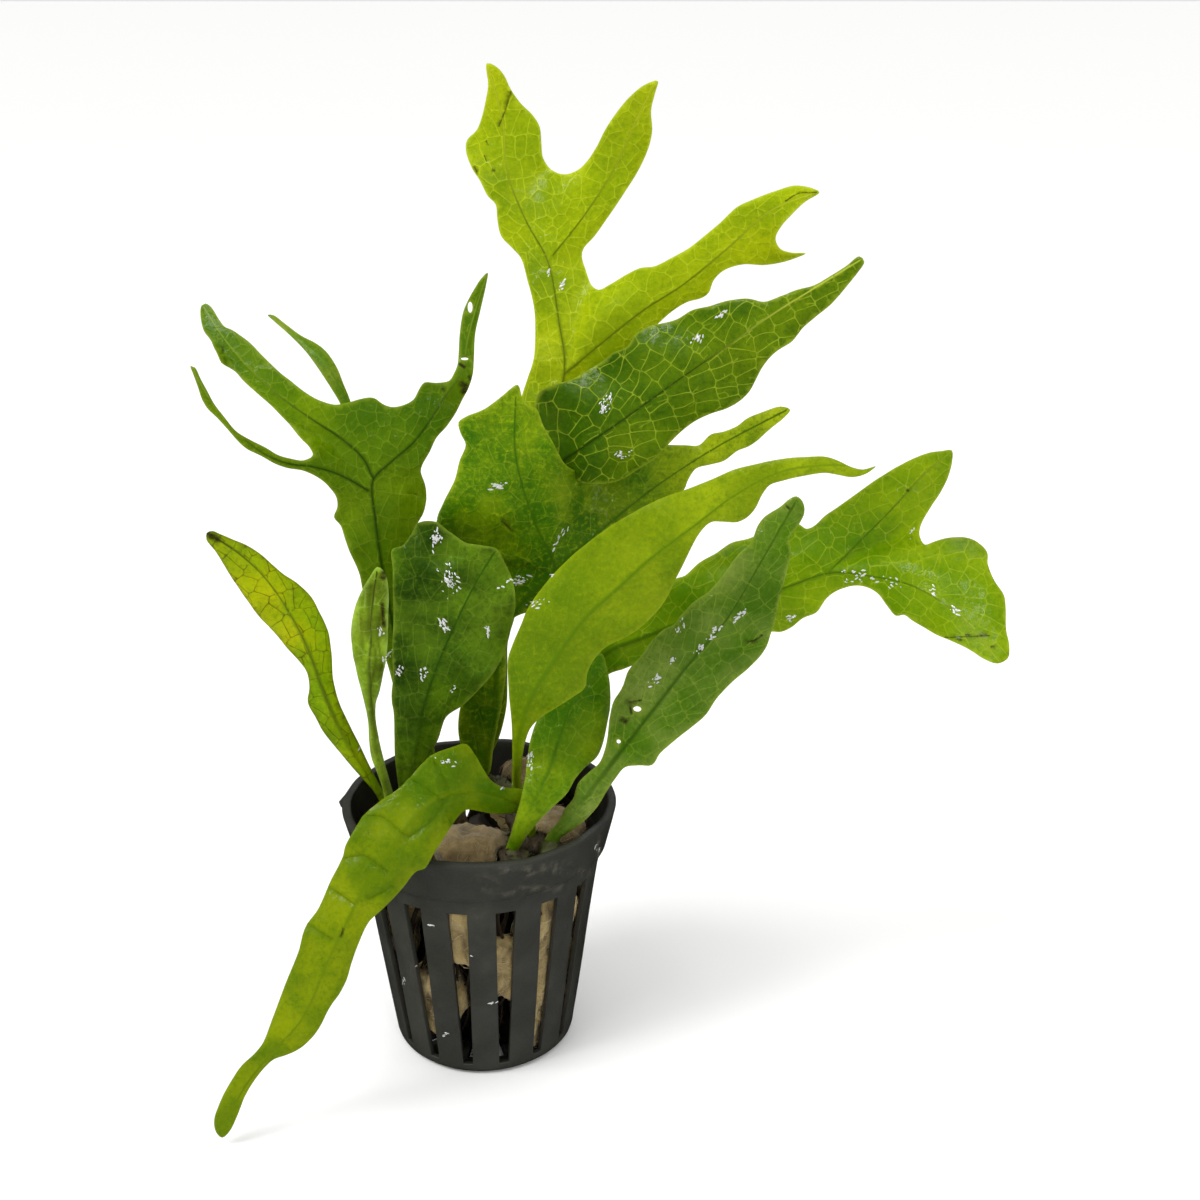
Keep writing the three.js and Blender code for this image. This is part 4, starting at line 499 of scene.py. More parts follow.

# Colours of each frond, as sRGB hex: blade, light where light_spots are, deep where deep_spots are,
# its veins, the rib near the stalk and near the tip. A spot is across, up and reach in millimetres.
# Some light and deep spots are painted light and shade, as said at their fronds.
# Marks are dead or dark streaks, as across and up points with a half width, creases are folds drawn
# darker with painted shade, and holes are across, up, half width and half height.
# Net says how clearly its veins stand out, wet how much of a water film it carries, puff how far the
# blade swells between its veins and waves how deep its uneven hollows are, in millimetres. Pale is
# the share of its length beyond which its ribs turn pale, and size scales the cells of its net.
LOOKS = {
    "frond_crown": {
        "blade": "#8a9f00", "light": "#aab606", "deep": "#647f00", "vein": "#c6d02c",
        "rib": "#4a5a00", "tip_rib": "#acb720",
        "net": 0.42, "wet": 0.3, "puff": 0.14, "waves": 0.5, "pale": 0.78, "size": 0.75,
        "light_spots": [[52, 139, 5], [3, 171, 5], [33, 168, 5], [14, 122, 5]],
        "deep_spots": [[10, 136, 8], [8, 152, 8], [12, 108, 12], [8, 90, 14], [30, 120, 7]],
        "marks": [[[6.8, 169.5], [5.6, 165.5], [4.6, 163], 0.16], [[3.5, 154.9], [3.8, 154.9], 0.34],
                  [[2.4, 160.4], [2.5, 160], 0.14], [[57, 149.4], [59.5, 150.8], [62.6, 151], 0.16],
                  [[2, 157.7], [2.4, 156.6], 0.12], [[0.2, 155.6], [0.6, 154.6], 0.2]],
    },
    "frond_netted": {
        "blade": "#416400", "light": "#617900", "deep": "#254700", "vein": "#a2b22e",
        "rib": "#173000", "tip_rib": "#a8b53a",
        "net": 0.62, "wet": 0.45, "puff": 0.3, "waves": 0.5, "pale": 0.72, "size": 0.8,
        "light_spots": [[58, 128, 9], [30, 105, 6], [42, 117, 7], [48, 121, 8], [66, 134, 7], [5.6, 57, 5]],
        "deep_spots": [[14, 110, 9], [20, 99, 5], [25, 122, 6], [8, 85, 14]],
        "marks": [],
    },
    "frond_shaded_fork": {
        "blade": "#406e00", "light": "#aabb0c", "deep": "#285200", "vein": "#a4b428",
        "rib": "#335800", "tip_rib": "#4a6a04",
        "net": 0.25, "wet": 0.7, "puff": 0.18, "waves": 0.45, "pale": 0.8, "size": 0.8,
        "light_spots": [[62, 114, 6], [54, 110, 8], [46, 105, 7], [38, 101, 5]],
        # The first deep spot paints the shadow under the netted frond's edge
        "deep_spots": [[22, 92, 8], [12, 80, 8], [1, 58, 14], [-4, 88, 4]],
        "marks": [[[5.2, 91.2], [6.8, 89.6], 0.2]],
    },
    "frond_bright_blade": {
        "blade": "#677e00", "light": "#8b9d09", "deep": "#4c6b00", "vein": "#8b9c14",
        "rib": "#4f6e00", "tip_rib": "#6a8408",
        "net": 0.14, "wet": 0.15, "puff": 0.06, "waves": 0.5, "pale": 0.7, "size": 0.85,
        "light_spots": [[66, 101, 4], [60, 102.4, 4], [44, 96, 7]],
        "deep_spots": [[8, 62, 10], [12, 66, 7], [16, 78, 4]],
        "marks": [],
    },
    "frond_hammer": {
        "blade": "#648400", "light": "#7e9600", "deep": "#456f00", "vein": "#aab82c",
        "rib": "#3c5a00", "tip_rib": "#8fa01c",
        "net": 0.4, "wet": 0.3, "puff": 0.2, "waves": 0.6, "pale": 0.8, "size": 0.75,
        "light_spots": [[94, 84, 6], [95, 72, 7], [84, 101, 5], [80, 90, 8], [60, 75, 6]],
        "deep_spots": [[40, 74, 8], [26, 66, 9], [52, 82, 5], [70, 86, 5]],
        "marks": [[[78.9, 96.6], [79.1, 96.5], 0.36], [[86, 69.7], [89, 69.8], [94, 70], 0.16],
                  [[89.8, 70.2], [90.4, 70.2], 0.3], [[92.6, 70.1], [93.6, 70], 0.26],
                  [[94.4, 68], [94.8, 68], 0.24], [[88.4, 69.4], [89, 69.2], 0.3]],
    },
    "frond_dark_lance": {
        # Its greyish light colour, laid at its light spots, paints the sheen of reflected light on its left
        # half
        "blade": "#496f00", "light": "#768938", "deep": "#365b00", "vein": "#97ab3a",
        "rib": "#2d4e00", "tip_rib": "#405f08",
        "net": 0.3, "wet": 1.0, "puff": 0.4, "waves": 0.9, "pale": 0.7, "size": 0.7,
        "light_spots": [[31, 61, 5], [35, 67, 6], [42, 73, 5], [46, 81, 5], [20, 38, 6]],
        "deep_spots": [[47, 65, 5], [53, 74, 6]],
        "marks": [[[27.3, 54.7], [27.7, 54.5], 0.7], [[50, 69.2], [51.4, 69.5], [52.6, 70.2], 0.25],
                  [[57.2, 93.6], [57.6, 93.3], 0.25], [[28.6, 58], [30.6, 58.4], 0.25],
                  [[28.8, 56], [28.6, 57], 0.3], [[20.8, 46], [22, 46.6], 0.25]],
        "holes": [[29.8, 56.7, 0.75, 0.5], [26.4, 50.8, 0.4, 0.4]],
    },
    "frond_front_short": {
        "blade": "#426d00", "light": "#789004", "deep": "#2a5400", "vein": "#869e2a",
        "rib": "#315900", "tip_rib": "#3f6900",
        "net": 0.3, "wet": 0.6, "puff": 0.26, "waves": 0.5, "pale": 0.7, "size": 0.75,
        "light_spots": [[8, 36, 8], [12, 46, 5], [22, 50, 4]],
        "deep_spots": [[20, 60, 6], [18, 54, 5], [16, 50, 4]],
        "marks": [],
    },
    "frond_drooping": {
        "blade": "#5f7500", "light": "#7c8a00", "deep": "#416400", "vein": "#75880c",
        "rib": "#5c7300", "tip_rib": "#5c7200",
        "net": 0.15, "wet": 0.4, "puff": 0.08, "waves": 1.0, "pale": 0.7, "size": 0.85,
        "light_spots": [[-22, 20, 8], [-29, 11, 9], [-34, -2, 6], [-43, -15, 7]],
        # Its deep spots round the base paint shade where the blade turns down from the stalk
        "deep_spots": [[4, 42, 9], [-3, 47, 6], [-10, 42, 6], [9, 36, 6]],
        "marks": [[[-24.2, 15.4], [-23.8, 16.6], 0.24]],
        "creases": [[[-16, 45.4], [-11, 43.4], [-6, 40]], [[-9, 49], [-6, 45], [-4.6, 41]],
                    [[-21, 37], [-17, 36.6], [-12, 33]], [[-4.6, 41], [1, 41.4], [8, 39.4]],
                    [[-12, 33], [-8, 36], [-4.6, 41]], [[-24, 29], [-20, 29.6], [-16, 27]],
                    [[-19, 22], [-15, 24.4]], [[-30, 17], [-26, 14.6]], [[-27, 24], [-22, 21]]],
    },
    "frond_yellowed": {
        "blade": "#79a002", "light": "#b8bb00", "deep": "#648203", "vein": "#4c3c08",
        "rib": "#55690c", "tip_rib": "#33330a",
        "net": 0.9, "wet": 0.3, "puff": 0.12, "waves": 0.6, "pale": 0.8, "size": 0.7,
        "light_spots": [[-42.6, 81, 5.6], [-38, 76, 5], [-34, 71, 3]],
        "deep_spots": [[-47, 88, 3]],
        "marks": [[[-48.4, 88.6], [-47, 87.8], 0.9]],
    },
    "frond_young_folded": {
        "blade": "#7a9f15", "light": "#98b62a", "deep": "#465708", "vein": "#a2bd60",
        "rib": "#4a5910", "tip_rib": "#38390e",
        "net": 0.3, "wet": 0.9, "puff": 0.3, "waves": 1.2, "pale": 0.7, "size": 0.85,
        "light_spots": [[-21, 72, 4], [-17, 48, 8]],
        "deep_spots": [[-17.2, 79, 3], [-16.6, 72, 3], [-16.8, 64, 3]],
        "marks": [[[-16.2, 81.6], [-16.6, 80.8], 0.9], [[-16.6, 76], [-16.3, 72], 0.5]],
        "creases": [[[-18.6, 79], [-19, 72], [-17.8, 66], [-18.6, 60], [-17.4, 52]],
                    [[-16.8, 74], [-17.4, 69], [-16.4, 62], [-17.2, 55]], [[-20.6, 74], [-20.2, 68]]],
    },
    "frond_left_fork": {
        "blade": "#507000", "light": "#678300", "deep": "#395d00", "vein": "#93a52c",
        "rib": "#1c3600", "tip_rib": "#6f8a1c",
        "net": 0.28, "wet": 0.3, "puff": 0.12, "waves": 0.7, "pale": 0.7, "size": 0.75,
        "light_spots": [[-36, 103, 8], [-14, 95, 6], [-22, 92, 5], [-30, 112, 5], [-46, 108, 8]],
        "deep_spots": [[-20, 110, 6], [-8, 112, 7], [-42, 121, 6], [-1, 125, 6]],
        "marks": [[[-2.2, 116], [-1.4, 115.2], [-2, 114.6], 0.9], [[-1, 117.4], [-0.6, 116.8], 0.4],
                  [[-2.6, 119.6], [-1.8, 119], 0.4], [[-45.9, 122.4], [-45.7, 122], 0.2],
                  [[-5.8, 115.2], [-5.4, 114.8], 0.2]],
        "holes": [[-0.7, 130, 0.45, 1.0], [-1.7, 120.6, 0.7, 0.25]],
    },
    "frond_back_narrow": {
        "blade": "#4c6f00", "light": "#778824", "deep": "#385c00", "vein": "#8ba028",
        "rib": "#3f6400", "tip_rib": "#5f821c",
        "net": 0.3, "wet": 0.3, "puff": 0.08, "waves": 0.4, "pale": 0.7, "size": 0.85,
        "light_spots": [[-25.4, 117.4, 2], [-36, 127, 4]],
        "deep_spots": [[-20, 100, 8]],
        "marks": [],
    },
    "frond_glossy_broad": {
        "blade": "#446504", "light": "#5c7a0d", "deep": "#152f00", "vein": "#84992e",
        "rib": "#1f3e00", "tip_rib": "#2c5200",
        "net": 0.22, "wet": 1.0, "puff": 0.3, "waves": 0.9, "pale": 0.7, "size": 0.75,
        # Its deep spots paint shade over the left half, and its two light spots right of the rib paint
        # light shining through
        "light_spots": [[-11, 44, 6], [2, 84, 4], [4, 74, 5]],
        "deep_spots": [[-12, 71, 7], [-10.5, 79, 6], [-13.4, 64, 4], [-7, 88, 4]],
        "marks": [],
    },
}


# Small helpers for materials

def paint(hex_colour):
    """An sRGB hex colour as the linear colour that a shader takes."""
    values = []
    for start in (1, 3, 5):
        share = int(hex_colour[start:start + 2], 16) / 255
        values.append(share / 12.92 if share <= 0.04045 else ((share + 0.055) / 1.055) ** 2.4)
    return (*values, 1)


def add_node(tree, kind, inputs=None, **settings):
    """Adds one shader node. Inputs are values, or nodes or sockets to link from."""
    made = tree.nodes.new(kind)
    for name, value in settings.items():
        setattr(made, name, value)
    for name, value in (inputs or {}).items():
        if isinstance(value, bpy.types.Node):
            value = value.outputs[0]
        if isinstance(value, bpy.types.NodeSocket):
            tree.links.new(value, made.inputs[name])
        else:
            made.inputs[name].default_value = value
    return made


def new_material(name, masks=()):
    """A material with an empty node tree that reads the masks its piece carries."""
    material = bpy.data.materials.new(name)
    material.use_nodes = True
    tree = material.node_tree
    tree.nodes.clear()
    read = {key: add_node(tree, "ShaderNodeAttribute", attribute_name=key).outputs["Fac"] for key in masks}
    return material, tree, read


def add_patterns(tree, place, unit, sizes, spans, distortion=0):
    """Patterns given by size, detail and roughness, and the shares taken from them, each given by its
    pattern, two of the pattern's values and what they turn into."""
    pattern = {}
    for key, size, detail, rough in sizes:
        pattern[key] = add_node(tree, "ShaderNodeTexNoise", {
            "Vector": place, "Scale": 1 / (size * unit), "Detail": detail, "Roughness": rough,
            "Distortion": distortion})
    share = {}
    for key, source, low, high, to_low, to_high in spans:
        share[key] = add_node(tree, "ShaderNodeMapRange", {
            "Value": pattern[source], "From Min": low, "From Max": high,
            "To Min": to_low, "To Max": to_high})
    return pattern, share


def lay_colours(tree, base, layers):
    """A base colour with other colours laid over it, each by a share times a mask."""
    colour = paint(base)
    for share, mask, tint in layers:
        share = add_node(tree, "ShaderNodeMath", {0: share, 1: mask}, operation="MULTIPLY")
        mixed = add_node(tree, "ShaderNodeMix", {
            MIX_SHARE: share, MIX_FIRST: colour, MIX_SECOND: paint(tint)}, data_type="RGBA")
        colour = mixed.outputs[MIX_RESULT]
    return colour


# Small helpers for meshes

def make_piece(name, points, faces, material, smooth=60):
    """A mesh from points in millimetres, riding on the pot's body."""
    mesh = bpy.data.meshes.new(name)
    mesh.from_pydata((np.asarray(points) * MM).tolist(), [], faces)
    mesh.validate()
    mesh.shade_smooth()
    mesh.set_sharp_from_angle(angle=math.radians(smooth))
    mesh.materials.append(material)
    piece = bpy.data.objects.new(name, mesh)
    bpy.context.scene.collection.objects.link(piece)
    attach(piece, "root")
    return piece


def apply_modifiers(piece):
    """Turns a piece's modifiers into its mesh."""
    ready = piece.evaluated_get(bpy.context.evaluated_depsgraph_get())
    mesh = bpy.data.meshes.new_from_object(ready)
    piece.modifiers.clear()
    piece.data = mesh


def mesh_points(mesh):
    """A mesh's points in millimetres and their normals."""
    points = np.zeros(len(mesh.vertices) * 3, np.float32)
    normals = np.zeros(len(mesh.vertices) * 3, np.float32)
    mesh.vertices.foreach_get("co", points)
    mesh.vertices.foreach_get("normal", normals)
    return points.reshape(-1, 3) / MM, normals.reshape(-1, 3)


def add_masks(piece, masks):
    """Gives a piece one value per point under each name, for its material to read."""
    for name, values in masks.items():
        layer = piece.data.attributes.new(name, "FLOAT", "POINT")
        layer.data.foreach_set("value", np.asarray(values, np.float32))


def closed_sheet(faces, count):
    """A front's faces, the same faces turned round for its back, and a rim along every open edge."""
    open_edges = {}
    for face in faces:
        for start, end in zip(face, face[1:] + face[:1]):
            if (end, start) in open_edges:
                del open_edges[(end, start)]
            else:
                open_edges[(start, end)] = True
    back = [[corner + count for corner in reversed(face)] for face in faces]
    return faces + back + [[start, start + count, end + count, end] for start, end in open_edges]


def smooth_line(points, step, closed=False):
    """Centripetal curve through the points, with a point every step or so."""
    points = np.asarray(points, float)
    count = len(points)
    line = []
    for index in range(count if closed else count - 1):
        start, end = points[index], points[(index + 1) % count]
        if closed:
            before, after = points[index - 1], points[(index + 2) % count]
        else:
            before = points[index - 1] if index else 2 * start - end
            after = points[index + 2] if index + 2 < count else 2 * end - start
        spans = [max(1e-4, np.linalg.norm(far - near)) ** 0.5
                 for near, far in ((before, start), (start, end), (end, after))]
        leave = ((start - before) / spans[0] - (end - before) / (spans[0] + spans[1])
                 + (end - start) / spans[1])
        reach = ((end - start) / spans[1] - (after - start) / (spans[1] + spans[2])
                 + (after - end) / spans[2])
        leave, reach = leave * spans[1], reach * spans[1]
        pieces = max(1, round(np.linalg.norm(end - start) / step))
        for piece in range(pieces):
            t = piece / pieces
            line.append((2 * t**3 - 3 * t**2 + 1) * start + (t**3 - 2 * t**2 + t) * leave
                        + (3 * t**2 - 2 * t**3) * end + (t**3 - t**2) * reach)
    if not closed:
        line.append(points[-1])
    return np.array(line)


def ringed(line):
    """A closed line with its first point again at its end."""
    return np.vstack([line, line[:1]])


def inside(outline, places):
    """Which places lie inside a closed outline."""
    x, y = places[:, 0][:, None], places[:, 1][:, None]
    x1, y1 = outline[:, 0], outline[:, 1]
    x2, y2 = np.roll(x1, -1), np.roll(y1, -1)
    rise = np.where(y2 == y1, 1e-9, y2 - y1)
    crossed = ((y1 > y) != (y2 > y)) & (x < (x2 - x1) * (y - y1) / rise + x1)
    return crossed.sum(1) % 2 == 1


def nearest_on_line(line, places):
    """Distance to a line, the side (+1 left), the length along it and its third value there."""
    start, step = line[:-1, :2], np.diff(line[:, :2], axis=0)
    length = np.maximum(np.linalg.norm(step, axis=1), 1e-9)
    passed = np.concatenate([[0], np.cumsum(length)])
    away = places[:, None, :] - start
    share = np.clip((away * step).sum(2) / length**2, 0, 1)
    gap = away - share[..., None] * step
    distance = np.linalg.norm(gap, axis=2)
    best = distance.argmin(1)
    row = np.arange(len(places))
    turn = step[best, 0] * gap[row, best, 1] - step[best, 1] * gap[row, best, 0]
    side = np.where(turn >= 0, 1.0, -1.0)
    along = passed[best] + share[row, best] * length[best]
    third = np.zeros(len(places))
    if line.shape[1] > 2:
        third = line[best, 2] + share[row, best] * (line[best + 1, 2] - line[best, 2])
    return distance[row, best], side, along, third


def on_sight_line(places, depth):
    """Where the sight lines through board places meet their depths."""
    board = EYE + BOARD_DISTANCE * BOARD_FORWARD + (places[:, 1:2] - BOARD_RISE) * BOARD_UP
    board[:, 0] = places[:, 0]
    share = (depth - EYE[1]) / (board[:, 1] - EYE[1])
    return EYE + share[:, None] * (board - EYE)


def on_board(points):
    """Where points appear on the leaning board."""
    away = points - EYE
    share = BOARD_DISTANCE / (away @ BOARD_FORWARD)
    return np.stack([EYE[0] + away[:, 0] * share, BOARD_RISE + (away @ BOARD_UP) * share], 1)


def blade_depth(frond, ribs, places):
    """Depth of the blade's middle sheet at board places."""
    weights = np.zeros(len(places))
    depths = np.zeros(len(places))
    for rib in ribs:
        distance, side, along, depth = nearest_on_line(rib, places)
        weight = 1 / (distance**2 + RIB_BLEND) ** 2
        outward = np.minimum(1, (distance / RUFFLE_REACH) ** 2)
        turn = 2 * math.pi * along / frond["wave"] + side * RUFFLE_SHIFT
        depth = (depth + frond["tilt"] * side * distance + frond["camber"] * distance**2
                 + frond["ruffle"] * outward * np.sin(turn))
        weights += weight
        depths += weight * depth
    return depths / weights


# The fronds

def spread_out(groups):
    """Keeps each point that lies its group's own distance from all points kept before it."""
    kept = []
    cells = {}
    for points, closest in groups:
        for x, y in points:
            column, row = math.floor(x), math.floor(y)
            near = (other for i in (-1, 0, 1) for j in (-1, 0, 1)
                    for other in cells.get((column + i, row + j), ()))
            if all((x - a) ** 2 + (y - b) ** 2 >= closest**2 for a, b in near):
                kept.append((x, y))
                cells.setdefault((column, row), []).append((x, y))
    return kept


def vein_seeds(ribs, outline, size, draw):
    """Middles of the net's cells, in leaning rows on both sides of each rib."""
    seeds = []
    for rib in ribs:
        steps = np.linalg.norm(np.diff(rib[:, :2], axis=0), axis=1)
        passed = np.concatenate([[0], np.cumsum(steps)])
        for row in range(int(passed[-1] / (VEIN_ROW * size)) + 2):
            at = min(len(rib) - 2, int(np.searchsorted(passed, row * VEIN_ROW * size)))
            ahead = rib[at + 1, :2] - rib[at, :2]
            heading = math.atan2(ahead[1], ahead[0])
            for side in (-1, 1):
                lean = heading + side * VEIN_LEAN
                for cell in range(VEIN_CELLS):
                    reach = (VEIN_FIRST + cell + (row % 2) / 2) * VEIN_CELL * size
                    reach *= draw.uniform(*VEIN_SPREAD)
                    spot = rib[at, :2] + reach * np.array([math.cos(lean), math.sin(lean)])
                    spot = spot + np.array([draw.uniform(-VEIN_OFF, VEIN_OFF) for _ in range(2)])
                    if all(math.hypot(spot[0] - x, spot[1] - y) > VEIN_APART * size for x, y in seeds):
                        seeds.append((spot[0], spot[1]))
    seeds = np.array(seeds)
    near = nearest_on_line(ringed(outline), seeds)[0]
    return seeds[inside(outline, seeds) | (near < VEIN_CELL)]


def vein_lines(ribs, outline, size, draw):
    """Lines of the net, as start, end and strength: the borders between neighbouring cells, which run
    from the middle of one triangle's circle to the next, and some free ends inside the cells."""
    seeds = vein_seeds(ribs, outline, size, draw)
    corners, _, triangles, *_ = delaunay_2d_cdt([Vector(seed) for seed in seeds], [], [], 0, 1e-6)
    middles = []
    shared = {}
    for index, (a, b, c) in enumerate(triangles):
        ax, ay = corners[a]
        bx, by = corners[b][0] - ax, corners[b][1] - ay
        cx, cy = corners[c][0] - ax, corners[c][1] - ay
        area = 2 * (bx * cy - by * cx)
        x = (cy * (bx * bx + by * by) - by * (cx * cx + cy * cy)) / area
        y = (bx * (cx * cx + cy * cy) - cx * (bx * bx + by * by)) / area
        middles.append(np.array([ax + x, ay + y]))
        for pair in ((a, b), (b, c), (c, a)):
            shared.setdefault(tuple(sorted(pair)), []).append(index)
    lines = []
    for pair in sorted(shared):
        if len(shared[pair]) < 2:
            continue
        start, end = (middles[index] for index in shared[pair])
        if np.linalg.norm(end - start) > VEIN_LONGEST * VEIN_CELL:
            continue
        lines.append((start, end, draw.uniform(*VEIN_STRONG)))
        if draw.random() < VEIN_FREE:
            middle = (start + end) / 2
            inward = np.array(corners[draw.choice(pair)]) - middle
            lines.append((middle, middle + inward * draw.uniform(*FREE_LONG), draw.uniform(*FREE_STRONG)))
    return lines


def vein_paths(ribs, outline, size, draw):
    """The net's lines as wavering paths, each with its strength and the direction across it."""
    paths = []
    for start, end, power in vein_lines(ribs, outline, size, draw):
        ahead = end - start
        length = max(np.linalg.norm(ahead), 1e-6)
        steps = max(1, round(length / VEIN_STEP)) * VEIN_FINE
        path = start + np.linspace(0, 1, steps + 1)[:, None] * ahead
        # Two far layers of plain noise: noise_vector differs from one run to the next
        wander = [[noise.noise(Vector((x, y, layer)) / VEIN_WANDER_SIZE) for layer in WANDER_LAYERS]
                  for x, y in path]
        across = np.array([-ahead[1], ahead[0]]) / length
        paths.append((path + VEIN_WANDER * np.array(wander), power, across))
    return paths


def clear_of(outline, ribs, places, gap):
    """Tells which places lie inside an outline and clear of it and of the ribs."""
    ok = inside(outline, places) & (nearest_on_line(ringed(outline), places)[0] > gap)
    for rib in ribs:
        ok &= nearest_on_line(rib, places)[0] > gap
    return ok


def flat_tree(places):
    """A search tree over flat places."""
    tree = kdtree.KDTree(len(places))
    for index, (x, y) in enumerate(places):
        tree.insert((x, y, 0), index)
    tree.balance()
    return tree


def along_line(tree, line):
    """Edges of a mesh that follow a line, where the line runs over points of the mesh."""
    found = [tree.find((x, y, 0)) for x, y in line]
    return [(here[1], there[1]) for here, there in zip(found, found[1:])
            if here[1] != there[1] and max(here[2], there[2]) < LINE_SNAP]


def rib_points(ribs, outline):
    """Points on the ribs, and in two rows on each side of them."""
    middle, beside = [], []
    for rib in ribs:
        step = np.gradient(rib[:, :2], axis=0)
        across = np.stack([-step[:, 1], step[:, 0]], 1) / np.linalg.norm(step, axis=1)[:, None]
        middle.append(rib[1:, :2])
        for off in BESIDE_RIB:
            beside.append(rib[:, :2] + off * across)
    kept = []
    for points in (np.vstack(middle), np.vstack(beside)):
        clear = nearest_on_line(ringed(outline), points)[0] > RIB_CLEAR
        kept.append(points[inside(outline, points) & clear])
    return kept


def mark_points(marks):
    """Points that fill each mark closely."""
    points = []
    for *line, half in marks:
        for place in smooth_line(line, MARK_STEP):
            points.append(place)
            for turn in np.arange(0, 2 * math.pi, math.pi / 3):
                away = np.array([math.cos(turn), math.sin(turn)])
                points.extend((place + away * half * 0.6, place + away * half))
    return np.array(points).reshape(-1, 2)


def soft_spots(spots, places):
    """How far each place is inside soft round spots, from 0 to 1."""
    share = np.zeros(len(places))
    for across, up, reach in spots:
        away = np.hypot(places[:, 0] - across, places[:, 1] - up) / reach
        share = np.maximum(share, np.exp(-(away**2)))
    return share


def frond_loops(frond, look):
    """The frond's outline, then the outlines of its holes."""
    loops = [smooth_line(frond["outline"], EDGE_STEP, closed=True)]
    turns = np.arange(0, 2 * math.pi, HOLE_TURN)
    for across, up, wide, tall in look.get("holes", []):
        loops.append(np.stack([across + wide * np.cos(turns), up + tall * np.sin(turns)], 1))
    return loops


def blade_points(look, loops, ribs, paths):
    """Points for a blade's mesh: its edges first, then its ribs, veins and marks, and an even filling."""
    outline = loops[0]
    veins = np.vstack([path[::VEIN_FINE] for path, _, _ in paths])
    veins = veins[clear_of(outline, ribs, veins, VEIN_CLEAR)]
    beside = np.vstack([path[::VEIN_FINE] + side * VEIN_HALF * across
                        for path, _, across in paths for side in (-1, 1)])
    beside = beside[clear_of(outline, ribs, beside, BESIDE_CLEAR)]
    rib_middle, rib_beside = rib_points(ribs, outline)
    marks = mark_points(look["marks"] + [[*line, CREASE_HALF] for line in look.get("creases", [])])
    marks = marks[inside(outline, marks)]
    low, high = outline.min(0), outline.max(0)
    columns, rows = np.meshgrid(np.arange(low[0], high[0], BLADE_STEP),
                                np.arange(low[1], high[1], BLADE_STEP * 0.866))
    columns = columns + (np.arange(len(columns))[:, None] % 2) * BLADE_STEP / 2
    grid = np.stack([columns.ravel(), rows.ravel()], 1)
    grid = grid[inside(outline, grid)]
    grid = grid[nearest_on_line(ringed(outline), grid)[0] > VEIN_CLEAR]
    return spread_out([(np.vstack(loops), 0), (rib_middle, CLOSE_LINE), (veins, CLOSE_LINE),
                       (marks, CLOSE_MARK), (rib_beside, CLOSE_LINE), (beside, CLOSE_MARK),
                       (grid, CLOSE_GRID)])


def blade_triangles(points, loops, paths):
    """A blade's places and triangles, all turned the same way, with edges along its outline and veins."""
    edges = []
    first = 0
    for loop in loops:
        edges += [(first + index, first + (index + 1) % len(loop)) for index in range(len(loop))]
        first += len(loop)
    tree = flat_tree(points)
    for path, _, _ in paths:
        edges += along_line(tree, path[::VEIN_FINE])
    corners, _, triangles, *_ = delaunay_2d_cdt([Vector(point) for point in points], edges, [], 0, 1e-5)
    places = np.array(corners)
    triangles = np.array(triangles)
    centres = places[triangles].mean(1)
    kept = inside(loops[0], centres)
    for hole in loops[1:]:
        kept &= ~inside(hole, centres)
    used, triangles = np.unique(triangles[kept], return_inverse=True)
    triangles = triangles.reshape(-1, 3)
    places = places[used]
    a, b, c = (places[triangles[:, index]] for index in range(3))
    turned = (b[:, 0] - a[:, 0]) * (c[:, 1] - a[:, 1]) - (b[:, 1] - a[:, 1]) * (c[:, 0] - a[:, 0]) < 0
    triangles[turned] = triangles[turned][:, [0, 2, 1]]
    return places, triangles


def blade_measures(look, loops, ribs, paths, places):
    """What lies at each place of a blade: distances to its rib, vein and edge, how far along the blade
    and how much on its stalk, a vein, a mark or a crease the place is."""
    nearest = [nearest_on_line(rib, places) for rib in ribs]
    starts = [0] + [nearest_on_line(ribs[0], rib[:1, :2])[2][0] for rib in ribs[1:]]
    alongs = np.array([start + near[2] for start, near in zip(starts, nearest)])
    closest = np.argmin([near[0] for near in nearest], axis=0)
    tree = flat_tree(np.vstack([path for path, _, _ in paths]))
    strengths = np.concatenate([np.full(len(path), power) for path, power, _ in paths])
    found = [tree.find((x, y, 0)) for x, y in places]
    vein_away = np.array([near[2] for near in found])
    mark = np.zeros(len(places))
    for *line, half in look["marks"]:
        away = nearest_on_line(smooth_line(line, MARK_STEP), places)[0]
        mark = np.maximum(mark, np.clip(1.6 - 1.6 * away / half, 0, 1))
    crease = np.zeros(len(places))
    for line in look.get("creases", []):
        away = nearest_on_line(smooth_line(line, MARK_STEP), places)[0]
        crease = np.maximum(crease, np.exp(-((away / CREASE_HALF) ** 2)))
    return {
        "rib_away": np.min([near[0] for near in nearest], axis=0),
        "vein_away": vein_away,
        "to_edge": np.min([nearest_on_line(ringed(loop), places)[0] for loop in loops], axis=0),
        "along": alongs[closest, np.arange(len(places))] / alongs.max(),
        "stalk": np.clip(1 - nearest[0][2] / STALK_FADE, 0, 1),
        "vein": np.array([strengths[near[1]] for near in found]) * np.clip(1 - vein_away / VEIN_HALF, 0, 1),
        "mark": mark,
        "crease": crease,
    }


